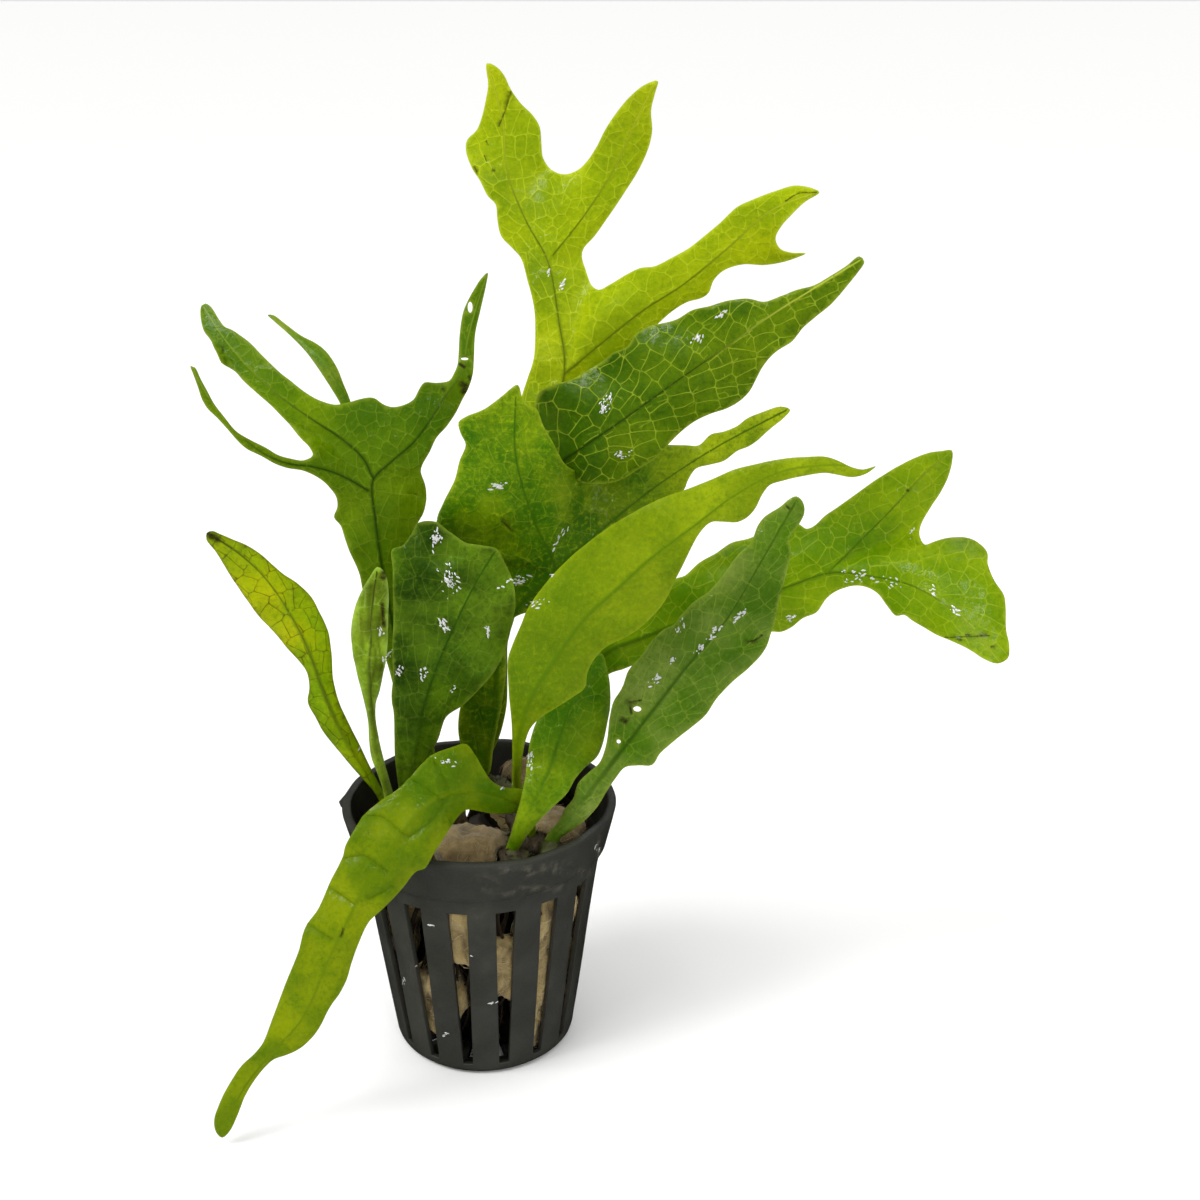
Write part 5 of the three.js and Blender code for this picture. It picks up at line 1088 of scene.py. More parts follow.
def blade_middle(frond, look, number, ribs, places, at):
    """The blade's middle sheet, puffed up between its veins and uneven all over. It writes into the
    measures how much each place swells and how uneven it is."""
    at["swell"] = np.clip(np.minimum(at["vein_away"], at["rib_away"]) / PUFF_REACH, 0, 1) ** PUFF_ROUND
    depth = blade_depth(frond, ribs, places) - look["puff"] * at["swell"] * (1 - at["stalk"])
    middle = on_sight_line(places, depth)
    uneven = np.zeros(len(places))
    for size, share in UNEVEN:
        uneven += [share * noise.noise(Vector(point) / size + Vector((number, 0, 0))) for point in middle]
    at["uneven"] = uneven
    waves = look["waves"] * uneven * np.clip(at["rib_away"] / UNEVEN_FADE, 0, 1) * (1 - at["stalk"])
    middle[:, 1] += waves + CREASE_DEEP * at["crease"]
    return middle


def blade_sheets(middle, triangles, at):
    """Front and back of a blade: thick at its ribs and stalk, thin and rounded at its edge."""
    a, b, c = (middle[triangles[:, index]] for index in range(3))
    flat = np.cross(b - a, c - a)
    facing = np.zeros_like(middle)
    for index in range(3):
        np.add.at(facing, triangles[:, index], flat)
    facing /= np.linalg.norm(facing, axis=1)[:, None]
    # Ribs grow narrower and lower towards the tip, and the stalk is round
    rib_wide = RIB_SPREAD * (1.15 - 0.8 * at["along"])
    thick = BLADE_THICK + RIB_EXTRA * (1.1 - at["along"]) * np.exp(-((at["rib_away"] / rib_wide) ** 2))
    round_stalk = at["stalk"] * np.exp(-((at["rib_away"] / STALK_SPREAD) ** 2))
    thick = thick * (1 - round_stalk) + STALK_THICK * round_stalk
    share = np.clip(at["to_edge"] / (EDGE_ROUND * (1 - at["stalk"] * 0.2)), 0, 1)
    thick = np.maximum(EDGE_THICK, thick * np.sqrt(1 - (1 - share) ** 2))
    front = middle + facing * (thick / 2 + VEIN_HEIGHT * at["vein"] * VEIN_SHALLOW)[:, None]
    back = middle - facing * (thick / 2 + VEIN_HEIGHT * at["vein"])[:, None]
    return np.vstack([front, back])


def blade_masks(look, places, at):
    """Masks that the leaf's material reads, for one sheet."""
    # A drawn rib has soft sides, grows thinner towards the tip and fades out on the round stalk
    on_rib = np.clip(1.7 - at["rib_away"] / (RIB_HALF * (1.25 - at["along"])), 0, 1)
    return {
        "rib": on_rib * (1 - 0.8 * np.clip(2 * at["stalk"] - 0.4, 0, 1)),
        "tip": np.clip((at["along"] - look["pale"]) / 0.2, 0, 1),
        "vein": np.clip((at["vein"] - 0.12) / 0.48, 0, 1),
        "mark": at["mark"],
        "light": soft_spots(look["light_spots"], places),
        "deep": soft_spots(look["deep_spots"], places),
        "margin": np.clip(1 - at["to_edge"] / 0.4, 0, 1),
        # Painted shade in the swollen middle of each cell of the net, fading out at the veins
        "cell": at["swell"] * (1 - at["stalk"]),
        # Painted shade in the hollows and painted highlight on the swellings of the uneven blade
        "hollow_shade": np.clip(-UNEVEN_SHOWS * at["uneven"], 0, 1),
        "ridge_highlight": np.clip(UNEVEN_SHOWS * at["uneven"], 0, 1),
        # Painted shade along the creases
        "crease": at["crease"],
    }


def frond_piece(frond, look, number):
    """One frond: front and back sheets with the same triangles, joined round their edge."""
    draw = random.Random(FROND_DRAW + number)
    ribs = [smooth_line(rib, RIB_STEP) for rib in frond["ribs"]]
    loops = frond_loops(frond, look)
    paths = vein_paths(ribs, loops[0], look["size"], draw)
    places, triangles = blade_triangles(blade_points(look, loops, ribs, paths), loops, paths)
    at = blade_measures(look, loops, ribs, paths, places)
    middle = blade_middle(frond, look, number, ribs, places, at)
    count = len(places)
    name = frond["node"].replace("frond_", "")
    piece = make_piece(name + "_frond", blade_sheets(middle, triangles, at),
                       closed_sheet(triangles.tolist(), count),
                       leaf_material(name + "_wet_leaf", look), smooth=70)
    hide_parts(frond["node"])
    masks = blade_masks(look, places, at)
    add_masks(piece, {key: np.concatenate([mask, mask]) for key, mask in masks.items()})
    add_masks(piece, {"under": np.concatenate([np.zeros(count), np.ones(count)])})
    # The drawn place, where each frond takes its own part of the patterns
    flat = np.concatenate([places, np.full((count, 1), 9.0 * number)], 1)
    layer = piece.data.attributes.new("flat", "FLOAT_VECTOR", "POINT")
    layer.data.foreach_set("vector", np.vstack([flat, flat]).astype(np.float32).ravel())
    return piece


def leaf_material(name, look):
    """Living leaf, grown: a waxy green sheet that light passes into, with a pale raised net of veins and a
    thin film of water, which gives it soft depth and small sharp glints. Its colour also carries painted
    shade in its hollows, creases and cell middles, and painted highlight on its swellings."""
    material, tree, read = new_material(name, (
        "rib", "tip", "vein", "mark", "light", "deep", "margin", "under",
        "cell", "hollow_shade", "ridge_highlight", "crease"))
    flat = add_node(tree, "ShaderNodeAttribute", attribute_name="flat").outputs["Vector"]

    # Patterns by their size in millimetres: blotches, broken veins, cells of the skin, water on it
    pattern, share = add_patterns(tree, flat, 1, (
        ("patch", 9, 3, 0.55), ("blotch", 3.2, 4, 0.65), ("cells", 0.9, 4, 0.75),
        ("film", 5, 2, 0.5), ("ripple", 1.7, 2, 0.5),
    ), (
        ("lighter", "patch", 0.4, 0.75, 0, 0.35),
        ("spot", "patch", 0.25, 0.6, 0.45, 1),
        ("shade", "blotch", 0.35, 0.65, 1, 0.5),
        ("dark_cell", "cells", 0.48, 0.7, 0, 0.6),
        ("light_cell", "cells", 0.3, 0.48, 0.4, 0),
        ("dark_blotch", "blotch", 0.5, 0.68, 0, 0.4),
        ("net", "blotch", 0.3, 0.6, 0.45 * look["net"], look["net"]),
        ("dead", "cells", 0.35, 0.6, 0.6, 1),
        ("rough", "cells", 0.3, 0.7, 0.36, 0.52),
        ("coat", "film", 0.46, 0.56, 0.12 * look["wet"], look["wet"]),
    ))

    # Colours laid over the blade's own, each by a share and a mask
    colour = lay_colours(tree, look["blade"], (
        (share["lighter"], 1, look["light"]),
        (share["spot"], read["light"], look["light"]),
        (share["shade"], read["deep"], look["deep"]),
        (share["dark_blotch"], 1, look["deep"]),
        (share["dark_cell"], 1, look["deep"]),
        (share["light_cell"], 1, look["light"]),
        # Painted shade in the middle of each net cell
        (0.9 * look["puff"], read["cell"], look["deep"]),
        # Painted shade in the blade's hollows and painted highlight on its swellings
        (0.5 * look["waves"], read["hollow_shade"], look["deep"]),
        (0.4 * look["waves"], read["ridge_highlight"], look["light"]),
        # Painted shade along the creases
        (0.45, read["crease"], look["deep"]),
        (share["net"], read["vein"], look["vein"]),
        (0.95, read["rib"], look["rib"]),
        (read["tip"], read["rib"], look["tip_rib"]),
        (0.4, read["margin"], look["vein"]),
        (0.25, read["under"], look["light"]),
        (share["dead"], read["mark"], DEAD_BROWN),
    ))

    skin = add_node(tree, "ShaderNodeBump", {"Height": pattern["cells"], "Distance": 0.1 * MM})
    water = add_node(tree, "ShaderNodeBump", {"Height": pattern["ripple"], "Distance": 0.4 * MM})
    shader = add_node(tree, "ShaderNodeBsdfPrincipled", {
        "Base Color": colour, "Roughness": share["rough"], "IOR": 1.42, "Specular IOR Level": 0.08,
        "Subsurface Weight": 0.1, "Subsurface Radius": (1, 1, 0.2), "Subsurface Scale": 0.4 * MM,
        "Coat Weight": share["coat"], "Coat Roughness": 0.07, "Coat IOR": 1.33,
        "Normal": skin, "Coat Normal": water,
    })
    add_node(tree, "ShaderNodeOutputMaterial", {"Surface": shader})
    return material


# The net pot

def body_radius(height):
    """Outer radius of the pot's tapered body."""
    return BODY_FOOT_RADIUS + (BODY_TOP_RADIUS - BODY_FOOT_RADIUS) * height / COLLAR_FOOT


def pot_rows():
    """Rows from the floor's middle to the rim: outer radius and height, inner radius and height."""
    foot = BODY_FOOT_RADIUS - FOOT_ROUND
    inner_foot = body_radius(FLOOR_THICK) - BODY_WALL - FOOT_ROUND / 2
    keys = [(POT_HUB, 0, POT_HUB, FLOOR_THICK),
            (FLOOR_SLOT_START, 0, FLOOR_SLOT_START, FLOOR_THICK),
            (FLOOR_SLOT_END, 0, FLOOR_SLOT_END, FLOOR_THICK)]
    for turn in np.radians((0, 30, 60, 90)):
        across, rise = math.sin(turn), 1 - math.cos(turn)
        keys.append((foot + (body_radius(FOOT_ROUND) - foot) * across, FOOT_ROUND * rise,
                     inner_foot + FOOT_ROUND / 2 * across, FLOOR_THICK + FOOT_ROUND / 2 * rise))
    for height in (SLOT_BOTTOM, SLOT_TOP, COLLAR_FOOT):
        keys.append((body_radius(height), height, body_radius(height) - BODY_WALL, height))
    keys.append((COLLAR_FOOT_RADIUS - RIM_ROUND / 2, COLLAR_FOOT + RIM_ROUND / 4,
                 BODY_TOP_RADIUS - BODY_WALL + RIM_ROUND, COLLAR_FOOT + RIM_ROUND))
    keys.append((COLLAR_FOOT_RADIUS, COLLAR_FOOT + RIM_ROUND,
                 COLLAR_FOOT_RADIUS - RIM_WALL, COLLAR_FOOT + RIM_ROUND * 2))
    for turn in np.radians((0, 45, 90)):
        back, rise = RIM_ROUND * (1 - math.cos(turn)), RIM_ROUND * (math.sin(turn) - 1)
        keys.append((RIM_RADIUS - back, POT_HEIGHT + rise,
                     RIM_RADIUS - RIM_WALL + back, POT_HEIGHT + rise))
    rows = []
    for here, there in zip(keys, keys[1:]):
        pieces = max(1, round(math.dist(here[:2], there[:2]) / POT_STEP))
        for piece in range(pieces):
            rows.append([start + (end - start) * piece / pieces for start, end in zip(here, there)])
    rows.append(list(keys[-1]))
    return rows


def pot_grid(rows):
    """Points of the outer wall, then the inner wall, and the outer wall's faces with open slots."""
    sector = 2 * math.pi / SLOT_COUNT
    columns = SLOT_COUNT * (SLOT_CELLS + BAR_CELLS)
    outer, inner, faces = [], [], []
    for radius, height, inner_radius, inner_height in rows:
        if height < FOOT_ROUND:
            half = FLOOR_SLOT_WIDTH / 2 / min(max(radius, FLOOR_SLOT_START), FLOOR_SLOT_END)
        else:
            rise = min(max(0, (height - SLOT_BOTTOM) / (SLOT_TOP - SLOT_BOTTOM)), 1)
            half = (SLOT_BOTTOM_WIDTH + (SLOT_TOP_WIDTH - SLOT_BOTTOM_WIDTH) * rise) / 2 / radius
        turns = np.concatenate([np.linspace(-half, half, SLOT_CELLS, endpoint=False),
                                np.linspace(half, sector - half, BAR_CELLS, endpoint=False)])
        for slot in range(SLOT_COUNT):
            for turn in turns + FIRST_SLOT_TURN + slot * sector:
                # The moulding is a little out of round, and its rim wavy with a torn nub on the left
                place = Vector((math.sin(turn) * WARP_ROUND, math.cos(turn) * WARP_ROUND, height * WARP_UP))
                push = POT_WARP * noise.noise(place)
                top = min(max(0, (height - COLLAR_FOOT) / (POT_HEIGHT - COLLAR_FOOT)), 1)
                lift = RIM_WAVE * top * noise.noise(place * RIM_WAVES + Vector((7, 0, 0)))
                away = math.remainder(turn - NUB_TURN, 2 * math.pi) * RIM_RADIUS / NUB_WIDE
                nub = NUB_LONG * math.exp(-abs(away) - ((height - NUB_HEIGHT) / NUB_WIDE) ** 2)
                for points, out, up in ((outer, radius + push + nub, height + lift),
                                        (inner, inner_radius + push, inner_height + lift)):
                    points.append((math.sin(turn) * out, -math.cos(turn) * out, up))
    for row, (here, there) in enumerate(zip(rows, rows[1:])):
        in_wall = here[1] >= SLOT_BOTTOM and there[1] <= SLOT_TOP + 1e-6
        in_floor = here[0] >= FLOOR_SLOT_START and there[0] <= FLOOR_SLOT_END + 1e-6 and there[1] == 0
        for column in range(columns):
            if (in_wall or in_floor) and column % (SLOT_CELLS + BAR_CELLS) < SLOT_CELLS:
                continue
            beside = (column + 1) % columns
            faces.append([row * columns + column, row * columns + beside,
                          (row + 1) * columns + beside, (row + 1) * columns + column])
    middle = len(outer)
    faces += [[middle, (column + 1) % columns, column] for column in range(columns)]
    outer.append((0, 0, 0))
    inner.append((0, 0, FLOOR_THICK))
    return outer + inner, faces


def pot_piece():
    """The net pot: one moulded shell with its slots, edges rounded as the tool leaves them."""
    points, faces = pot_grid(pot_rows())
    faces = closed_sheet(faces, len(points) // 2)
    piece = make_piece("net_pot_shell", points, faces, pot_material(), smooth=40)
    bevel = piece.modifiers.new("worn_edges", "BEVEL")
    bevel.width = POT_EDGE * MM
    bevel.segments = 2
    bevel.angle_limit = math.radians(50)
    apply_modifiers(piece)
    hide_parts("net_pot")
    places, normals = mesh_points(piece.data)
    board = on_board(places)
    smear = np.zeros(len(places))
    for across, up, wide, tall, strength in POT_SMEARS:
        away = ((board[:, 0] - across) / wide) ** 2 + ((board[:, 1] - up) / tall) ** 2
        smear = np.maximum(smear, strength * np.exp(-(away**2)))
    radius = np.maximum(np.hypot(places[:, 0], places[:, 1]), 1e-6)
    facing_in = -(places[:, :2] * normals[:, :2]).sum(1) / radius
    # The inside mask is painted shade: walls facing into the pot are drawn near black
    add_masks(piece, {"smear": smear * (places[:, 1] < 0), "inside": np.clip(facing_in * 2, 0, 1)})
    return piece


def pot_material():
    """Polypropylene, injection moulded: charcoal, satin and finely grained, with water marks, pale dust
    and dried silt, so it looks soft and slightly dirty rather than glossy. Its inner wall is drawn near
    black as painted shade."""
    material, tree, read = new_material("moulded_charcoal_polypropylene", ("smear", "inside"))
    place = add_node(tree, "ShaderNodeNewGeometry").outputs["Position"]
    # Sizes in millimetres. Real mould grain is finer, and is drawn at 0.5 mm so that it shows.
    pattern, share = add_patterns(tree, place, MM, (
        ("cloud", 9, 3, 0.5), ("silt", 2.2, 4, 0.65), ("grain", 0.5, 3, 0.7),
    ), (
        ("dust", "cloud", 0.42, 0.7, 0, 0.3),
        ("speck", "silt", 0.62, 0.72, 0, 0.45),
        ("smear", "silt", 0.44, 0.6, 0, 0.38),
        ("rough", "cloud", 0.35, 0.65, 0.4, 0.56),
        ("grain", "grain", 0.35, 0.65, 0, 0.3),
    ))
    colour = lay_colours(tree, "#363630", (
        (share["grain"], 1, "#2a2b26"),
        (share["dust"], 1, "#4a4a41"),
        (share["speck"], share["dust"], "#6b6654"),
        (share["smear"], read["smear"], "#77725f"),
        # Painted shade on the inner wall
        (0.85, read["inside"], "#100f0b"),
    ))
    bump = add_node(tree, "ShaderNodeBump", {"Height": pattern["grain"], "Distance": 0.06 * MM})
    bump = add_node(tree, "ShaderNodeBump", {
        "Height": pattern["silt"], "Distance": 0.12 * MM, "Normal": bump})
    shader = add_node(tree, "ShaderNodeBsdfPrincipled", {
        "Base Color": colour, "Roughness": share["rough"], "IOR": 1.49, "Normal": bump})
    add_node(tree, "ShaderNodeOutputMaterial", {"Surface": shader})
    return material


# Wool, roots and the creeping stem

def even_mesh(node, cell, rounds):
    """A CAD node's solid as a fine even mesh with softened facets: points, normals and faces."""
    copy = bpy.data.objects.new("even_copy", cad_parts[node].data.copy())
    bpy.context.scene.collection.objects.link(copy)
    remesh = copy.modifiers.new("even", "REMESH")
    remesh.mode = "VOXEL"
    remesh.voxel_size = cell * MM
    soften = copy.modifiers.new("soften", "SMOOTH")
    soften.iterations = rounds
    apply_modifiers(copy)
    points, normals = mesh_points(copy.data)
    faces = [list(polygon.vertices) for polygon in copy.data.polygons]
    bpy.data.objects.remove(copy)
    return points, normals, faces


def grown(points, normals, layers, offset=0):
    """Points pushed along their normals by layers of noise, given as size, height and stretch."""
    push = np.full(len(points), float(offset))
    for size, height, stretch in layers:
        scaled = points * np.array(stretch) / size
        push += height * np.array([noise.noise(Vector(point)) for point in scaled])
    return points + normals * push[:, None], push


def add_tube(points, faces, path, radii, sides=3):
    """Adds a tube with closed ends along a path."""
    path = np.asarray(path, float)
    heading = np.gradient(path, axis=0)
    heading /= np.linalg.norm(heading, axis=1)[:, None]
    aside = np.eye(3)[np.abs(heading.mean(0)).argmin()]
    first = np.cross(heading, aside)
    first /= np.linalg.norm(first, axis=1)[:, None]
    second = np.cross(heading, first)
    start = len(points)
    for side in range(sides):
        turn = 2 * math.pi * side / sides
        outward = math.cos(turn) * first + math.sin(turn) * second
        points.extend(path + np.asarray(radii)[:, None] * outward)
    count = len(path)
    for side in range(sides):
        here, there = start + side * count, start + (side + 1) % sides * count
        faces.extend([here + index, here + index + 1, there + index + 1, there + index]
                     for index in range(count - 1))
    faces.append([start + side * count for side in range(sides)])
    faces.append([start + side * count + count - 1 for side in reversed(range(sides))])


def fibre_masks(push, deep, count):
    """Masks for painted shade in the hollows of a body, and for the fibres whose points come after the
    body's.
    """
    loose = count - len(push)
    return {"hollow_shade": np.concatenate([np.clip(-push * deep, 0, 1), np.zeros(loose)]),
            "fibre": np.concatenate([np.zeros(len(push)), np.ones(loose)])}


def wool_piece(node, number, material):
    """One torn lump of planting wool: a creased felt surface with loose fibres lying over it."""
    draw = random.Random(WOOL_DRAW + number)
    points, normals, faces = even_mesh(node, WOOL_CELL, 6)
    body, push = grown(points, normals, WOOL_LAYERS, WOOL_INSET)
    body = list(body)
    steps = np.linspace(-0.5, 0.5, FIBRE_POINTS)[:, None]
    for _ in range(round(len(push) * WOOL_FIBRES)):
        at = draw.randrange(len(push))
        normal = normals[at]
        heading = np.cross(normal, [draw.gauss(0, 1) for _ in range(3)])
        heading /= np.linalg.norm(heading)
        bend = np.cross(normal, heading) * draw.uniform(-FIBRE_BEND, FIBRE_BEND)
        long = draw.uniform(*FIBRE_LONG)
        curve = bend * long - normal * long * FIBRE_SAG
        path = body[at] + steps * long * heading + (steps**2 - 0.1) * curve
        add_tube(body, faces, path + normal * draw.uniform(0, 0.2),
                 np.full(FIBRE_POINTS, draw.uniform(*FIBRE_THICK)))
    piece = make_piece(node + "_felt", body, faces, material)
    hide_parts(node)
    add_masks(piece, fibre_masks(push, 1.6, len(body)))
    # The damp mask is painted shade: the lumps at the top, under the fronds, are drawn darker brown
    add_masks(piece, {"damp": np.full(len(body), float("top" in node))})
    return piece


def wool_material():
    """Mineral wool, spun and torn by hand: dry pale fibres on top, painted shade in its creases and on the
    lumps at the top under the fronds, a little algae, with no gloss, so it looks soft and dull."""
    material, tree, read = new_material("damp_mineral_wool", ("hollow_shade", "fibre", "damp"))
    place = add_node(tree, "ShaderNodeNewGeometry").outputs["Position"]
    # Sizes in millimetres. Real fibres are far thinner, and are drawn at 0.3 mm so that they show.
    pattern, share = add_patterns(tree, place, MM, (
        ("stain", 5, 3, 0.6), ("tuft", 1.1, 4, 0.7), ("fibre", 0.3, 3, 0.8),
    ), (
        ("stain", "stain", 0.42, 0.68, 0, 0.55),
        ("algae", "stain", 0.66, 0.74, 0, 0.5),
        ("tuft", "tuft", 0.4, 0.7, 0, 0.5),
        ("pale", "fibre", 0.5, 0.75, 0, 0.5),
    ), distortion=0.6)
    colour = lay_colours(tree, "#b09a64", (
        (share["stain"], 1, "#7c673f"),
        (share["tuft"], 1, "#8a744a"),
        (share["pale"], 1, "#c4b385"),
        (share["algae"], 1, "#8b9a4a"),
        # Painted shade in the creases
        (0.9, read["hollow_shade"], "#4a3a22"),
        (0.6, read["fibre"], "#c9b98e"),
        # Painted shade on the lumps at the top, under the fronds
        (0.6, read["damp"], "#5c4a2a"),
    ))
    bump = add_node(tree, "ShaderNodeBump", {"Height": pattern["fibre"], "Distance": 0.15 * MM})
    bump = add_node(tree, "ShaderNodeBump", {
        "Height": pattern["tuft"], "Distance": 0.3 * MM, "Normal": bump})
    shader = add_node(tree, "ShaderNodeBsdfPrincipled", {
        "Base Color": colour, "Roughness": 0.95, "Specular IOR Level": 0.15, "Sheen Weight": 0.2,
        "Sheen Roughness": 0.6, "Subsurface Weight": 0.1, "Subsurface Scale": 0.5 * MM, "Normal": bump})
    add_node(tree, "ShaderNodeOutputMaterial", {"Surface": shader})
    return material


def root_ball_piece():
    """The old root ball: a dark felted core with wiry roots running down round it, the core drawn near
    black as painted shade deep in the pot.
    """
    draw = random.Random(ROOT_DRAW)
    points, normals, faces = even_mesh("root_ball", ROOT_CELL, 3)
    body, push = grown(points, normals, ROOT_LAYERS, ROOT_INSET)
    body = list(body)
    for root in range(ROOT_COUNT + BACK_ROOTS):
        turn = 2 * math.pi * (root + draw.uniform(-0.4, 0.4)) / ROOT_COUNT
        if root >= ROOT_COUNT:
            turn = math.pi + draw.uniform(-0.8, 0.8)
        high, low = draw.uniform(*ROOT_TOP), draw.uniform(*ROOT_FOOT)
        keys = []
        for height in np.linspace(high, low, 7):
            turn += draw.uniform(-0.2, 0.2)
            reach = body_radius(height) - BODY_WALL - draw.uniform(*ROOT_IN)
            keys.append((math.sin(turn) * reach, -math.cos(turn) * reach, height))
        path = smooth_line(keys, 1.1)
        thick = draw.uniform(*ROOT_THICK)
        add_tube(body, faces, path, np.linspace(thick, thick * 0.4, len(path)), 5)
    piece = make_piece("root_ball_mat", body, faces, root_material())
    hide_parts("root_ball")
    add_masks(piece, fibre_masks(push, 1, len(body)))
    return piece


def stem_piece():
    """The creeping stem: ringed bark with its knobs and roots, set with papery dark scales."""
    draw = random.Random(STEM_DRAW)
    points, normals, faces = even_mesh("creeping_stem", STEM_CELL, 3)
    body, push = grown(points, normals, STEM_LAYERS, STEM_INSET)
    body = list(body)
    for _ in range(STEM_SCALES):
        at = draw.randrange(len(push))
        lean = np.array([draw.gauss(0, 1) for _ in range(3)])
        heading = normals[at] + 1.1 * lean / np.linalg.norm(lean)
        heading /= np.linalg.norm(heading)
        long = draw.uniform(*SCALE_LONG)
        path = [body[at] - heading * 0.1, body[at] + heading * long * 0.5,
                body[at] + heading * long + normals[at] * 0.2]
        add_tube(body, faces, path, SCALE_THICK)
    piece = make_piece("creeping_stem_bark", body, faces, bark_material())
    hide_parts("creeping_stem")
    add_masks(piece, fibre_masks(push, 2, len(body)))
    return piece


def root_material():
    """Dead and living roots, grown: near black felt with wiry brown roots, damp and faintly shiny. The felt
    is drawn darker than real roots, as painted shade deep in the pot, and its hollows carry painted shade.
    """
    material, tree, read = new_material("dark_roots_painted_shade", ("hollow_shade", "fibre"))
    place = add_node(tree, "ShaderNodeNewGeometry").outputs["Position"]
    tuft = add_node(tree, "ShaderNodeTexNoise", {"Vector": place, "Scale": 1 / (1.4 * MM), "Detail": 4})
    felt = add_node(tree, "ShaderNodeTexNoise", {
        "Vector": place, "Scale": 1 / (0.35 * MM), "Detail": 3, "Roughness": 0.75, "Distortion": 0.8})
    # The near black felt is dark roots and painted shade of the pot's deep inside together
    colour = lay_colours(tree, "#2a2114", (
        (tuft, 0.7, "#17120a"),
        (0.75, read["fibre"], "#45351d"),
        (felt, read["fibre"], "#2a1e10"),
        # Painted shade in the hollows
        (0.9, read["hollow_shade"], "#0c0905"),
    ))
    bump = add_node(tree, "ShaderNodeBump", {"Height": felt, "Distance": 0.25 * MM})
    shader = add_node(tree, "ShaderNodeBsdfPrincipled", {
        "Base Color": colour, "Roughness": 0.6, "Normal": bump})
    add_node(tree, "ShaderNodeOutputMaterial", {"Surface": shader})
    return material


def bark_material():
    """Fern stem, grown: brown fibrous bark under papery dark scales, greener where it is young."""
    material, tree, read = new_material("fibrous_fern_bark", ("hollow_shade", "fibre"))
    place = add_node(tree, "ShaderNodeNewGeometry").outputs["Position"]
    pattern, share = add_patterns(tree, place, MM, (
        ("young", 6, 2, 0.5), ("fleck", 0.7, 4, 0.7),
    ), (
        ("green", "young", 0.5, 0.65, 0, 0.55),
    ))
    colour = lay_colours(tree, "#4a3c22", (
        (pattern["fleck"], 0.8, "#2a2012"),
        (share["green"], 1, "#5c6a26"),
        (0.9, read["fibre"], "#2b1e10"),
        # Painted shade in the hollows
        (0.8, read["hollow_shade"], "#171008"),
    ))
    bump = add_node(tree, "ShaderNodeBump", {"Height": pattern["fleck"], "Distance": 0.15 * MM})
    shader = add_node(tree, "ShaderNodeBsdfPrincipled", {
        "Base Color": colour, "Roughness": 0.62, "Normal": bump})
    add_node(tree, "ShaderNodeOutputMaterial", {"Surface": shader})
    return material


# Drops of water

def water_piece(pieces):
    """Flat drops where the photograph shows glints, each on the first surface its sight line meets."""
    draw = random.Random(WATER_DRAW)
    trees = [BVHTree.FromObject(piece, bpy.context.evaluated_depsgraph_get()) for piece in pieces]
    eye = Vector(EYE * MM)
    points, faces = [], []
    for across, up, reach, turn, number in WET_SPOTS:
        lean = math.radians(turn)
        for _ in range(number):
            along, aside = draw.gauss(0, CLUSTER_LONG) * reach, draw.gauss(0, CLUSTER_WIDE) * reach
            spot = np.array([[across + along * math.cos(lean) - aside * math.sin(lean),
                              up + along * math.sin(lean) + aside * math.cos(lean)]])
            ahead = Vector(on_sight_line(spot, np.zeros(1))[0] * MM) - eye
            hits = [tree.ray_cast(eye, ahead) for tree in trees]
            hits = [(hit[3], hit[0] / MM, hit[1]) for hit in hits if hit[0] is not None]
            if hits:
                _, place, normal = min(hits, key=lambda hit: hit[0])
                wide = draw.uniform(*DROP_WIDE)
                add_drop(points, faces, place, -normal if normal.dot(ahead) > 0 else normal,
                         wide * draw.uniform(*DROP_LONG), wide, lean + draw.uniform(-0.6, 0.6))
    return make_piece("water_drops", points, faces, water_material(), smooth=180)


def add_drop(points, faces, place, normal, long, wide, lean):
    """Adds one flat drop that lies on a surface, longer one way."""
    ahead = Vector((math.cos(lean), *(math.sin(lean) * BOARD_UP[1:])))
    ahead = (ahead - normal * ahead.dot(normal)).normalized()
    aside = normal.cross(ahead)
    start = len(points)
    for ring in range(DROP_RINGS + 1):
        tilt = math.pi * ring / DROP_RINGS
        for side in range(DROP_SIDES):
            spin = 2 * math.pi * side / DROP_SIDES
            points.append(place + ahead * long * math.sin(tilt) * math.cos(spin)
                          + aside * wide * math.sin(tilt) * math.sin(spin)
                          + normal * wide * DROP_FLAT * math.cos(tilt))
    for ring in range(DROP_RINGS):
        for side in range(DROP_SIDES):
            here, beside = start + ring * DROP_SIDES, (side + 1) % DROP_SIDES
            faces.append([here + side, here + DROP_SIDES + side, here + DROP_SIDES + beside, here + beside])


def water_material():
    """Clear water in small flat drops. A lamp's glint on them would be finer than this picture shows,
    so they are drawn milky, which gives the eye the same white sparkle."""
    material, tree, _ = new_material("sparkling_water")
    shader = add_node(tree, "ShaderNodeBsdfPrincipled", {
        "Base Color": paint("#ffffff"), "Roughness": 0.06, "IOR": 1.33, "Transmission Weight": 0.45,
        "Coat Weight": 1, "Coat IOR": 1.7, "Coat Roughness": 0.08})
    add_node(tree, "ShaderNodeOutputMaterial", {"Surface": shader})
    return material


# Plain pale floor, soft light and the camera

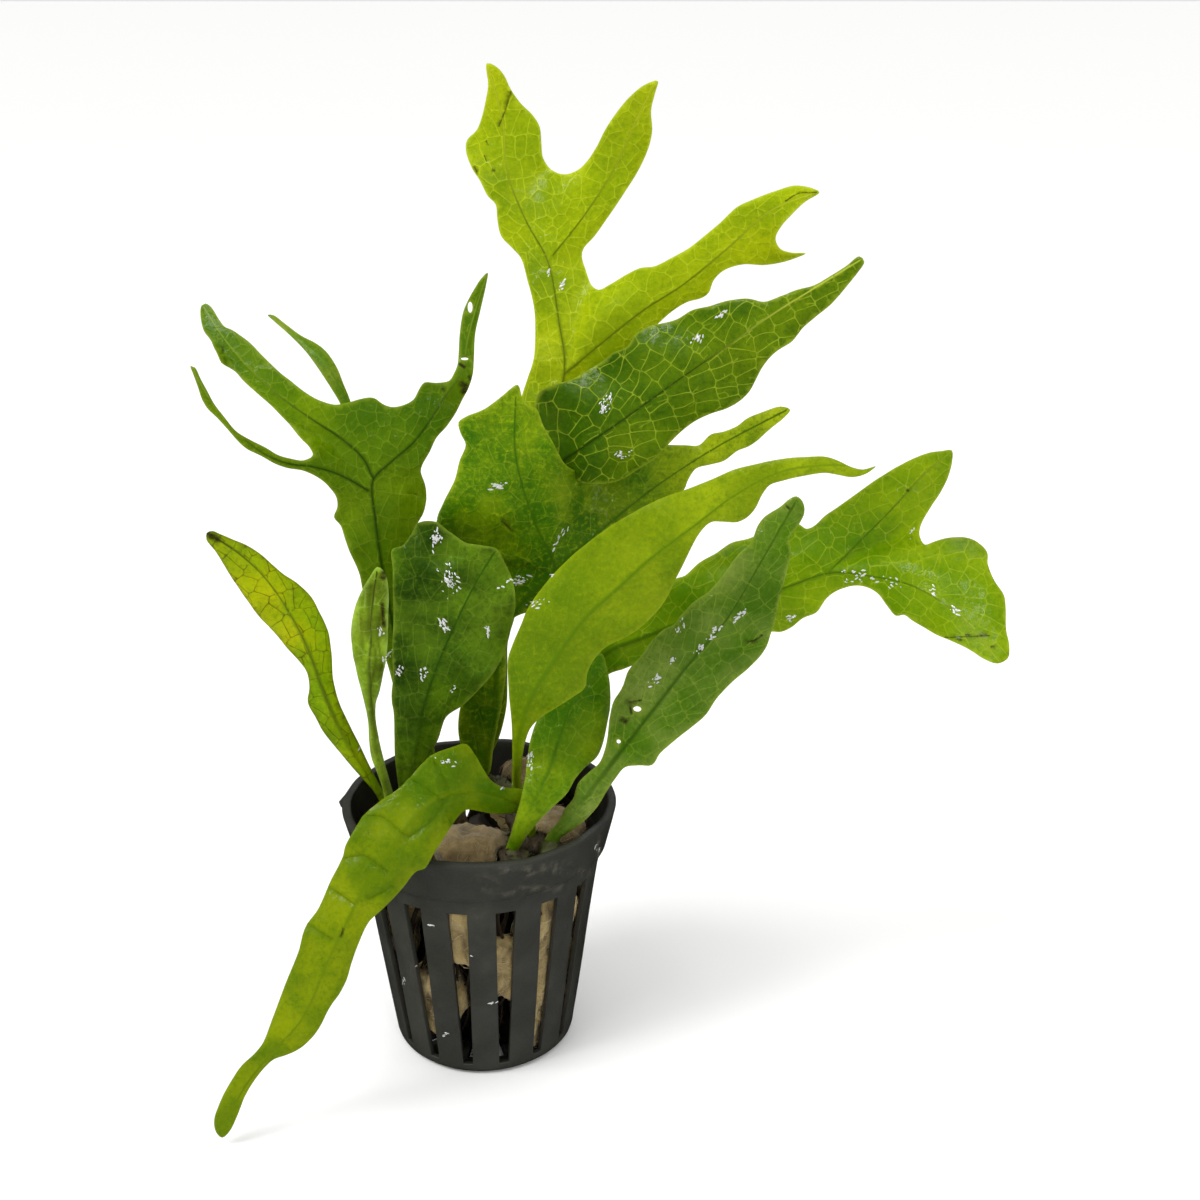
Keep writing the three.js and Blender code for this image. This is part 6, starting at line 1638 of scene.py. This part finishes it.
def studio():
    """A pale card floor, bright even light all round and a few soft lamps for shape and glints."""
    material, tree, _ = new_material("white_card")
    shader = add_node(tree, "ShaderNodeBsdfPrincipled", {"Base Color": paint("#fdfdfc"), "Roughness": 0.9})
    add_node(tree, "ShaderNodeOutputMaterial", {"Surface": shader})
    mesh = bpy.data.meshes.new("floor")
    corners = [(x * FLOOR_HALF, y * FLOOR_HALF, 0) for x, y in ((-1, -1), (1, -1), (1, 1), (-1, 1))]
    mesh.from_pydata(corners, [], [(0, 1, 2, 3)])
    mesh.materials.append(material)
    floor = bpy.data.objects.new("floor", mesh)
    bpy.context.scene.collection.objects.link(floor)
    floor.visible_glossy = False
    for name, place, size, power in LAMPS:
        light = bpy.data.lights.new(name, "AREA")
        light.shape = "SQUARE"
        light.size = size
        light.energy = power
        lamp = bpy.data.objects.new(name, light)
        lamp.location = place
        lamp.rotation_euler = (Vector(LAMPS_AIM) - Vector(place)).to_track_quat("-Z", "Y").to_euler()
        bpy.context.scene.collection.objects.link(lamp)
    light = bpy.data.lights.new("window_light", "SUN")
    light.angle = WINDOW_SOFT
    light.energy = WINDOW_BRIGHT
    lamp = bpy.data.objects.new("window_light", light)
    lamp.rotation_euler = Vector(WINDOW_TOWARDS).to_track_quat("-Z", "Y").to_euler()
    bpy.context.scene.collection.objects.link(lamp)
    world = bpy.data.worlds.new("soft_room")
    bpy.context.scene.world = world
    world.use_nodes = True
    background = world.node_tree.nodes["Background"]
    background.inputs["Color"].default_value = paint("#ffffff")
    background.inputs["Strength"].default_value = ROOM_BRIGHT
    world.cycles_visibility.glossy = False
    bpy.context.scene.view_settings.view_transform = "Standard"


def camera():
    """The photograph's view: level, looking a little down."""
    data = bpy.data.cameras.new("camera")
    data.lens = LENS
    data.sensor_width = SENSOR
    data.clip_start = NEAREST
    data.clip_end = FARTHEST
    made = bpy.data.objects.new("camera", data)
    made.location = Vector(EYE * MM)
    made.rotation_euler = Euler((math.pi / 2 - LOOK_DOWN, 0, 0))
    bpy.context.scene.collection.objects.link(made)
    bpy.context.scene.camera = made


fronds = [frond_piece(frond, LOOKS[frond["node"]], number) for number, frond in enumerate(FRONDS)]
pot = pot_piece()
wool = wool_material()
for number, node in enumerate(sorted(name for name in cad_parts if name.startswith("wool_"))):
    wool_piece(node, number, wool)
root_ball_piece()
stem_piece()
water_piece(fronds + [pot])
studio()
camera()
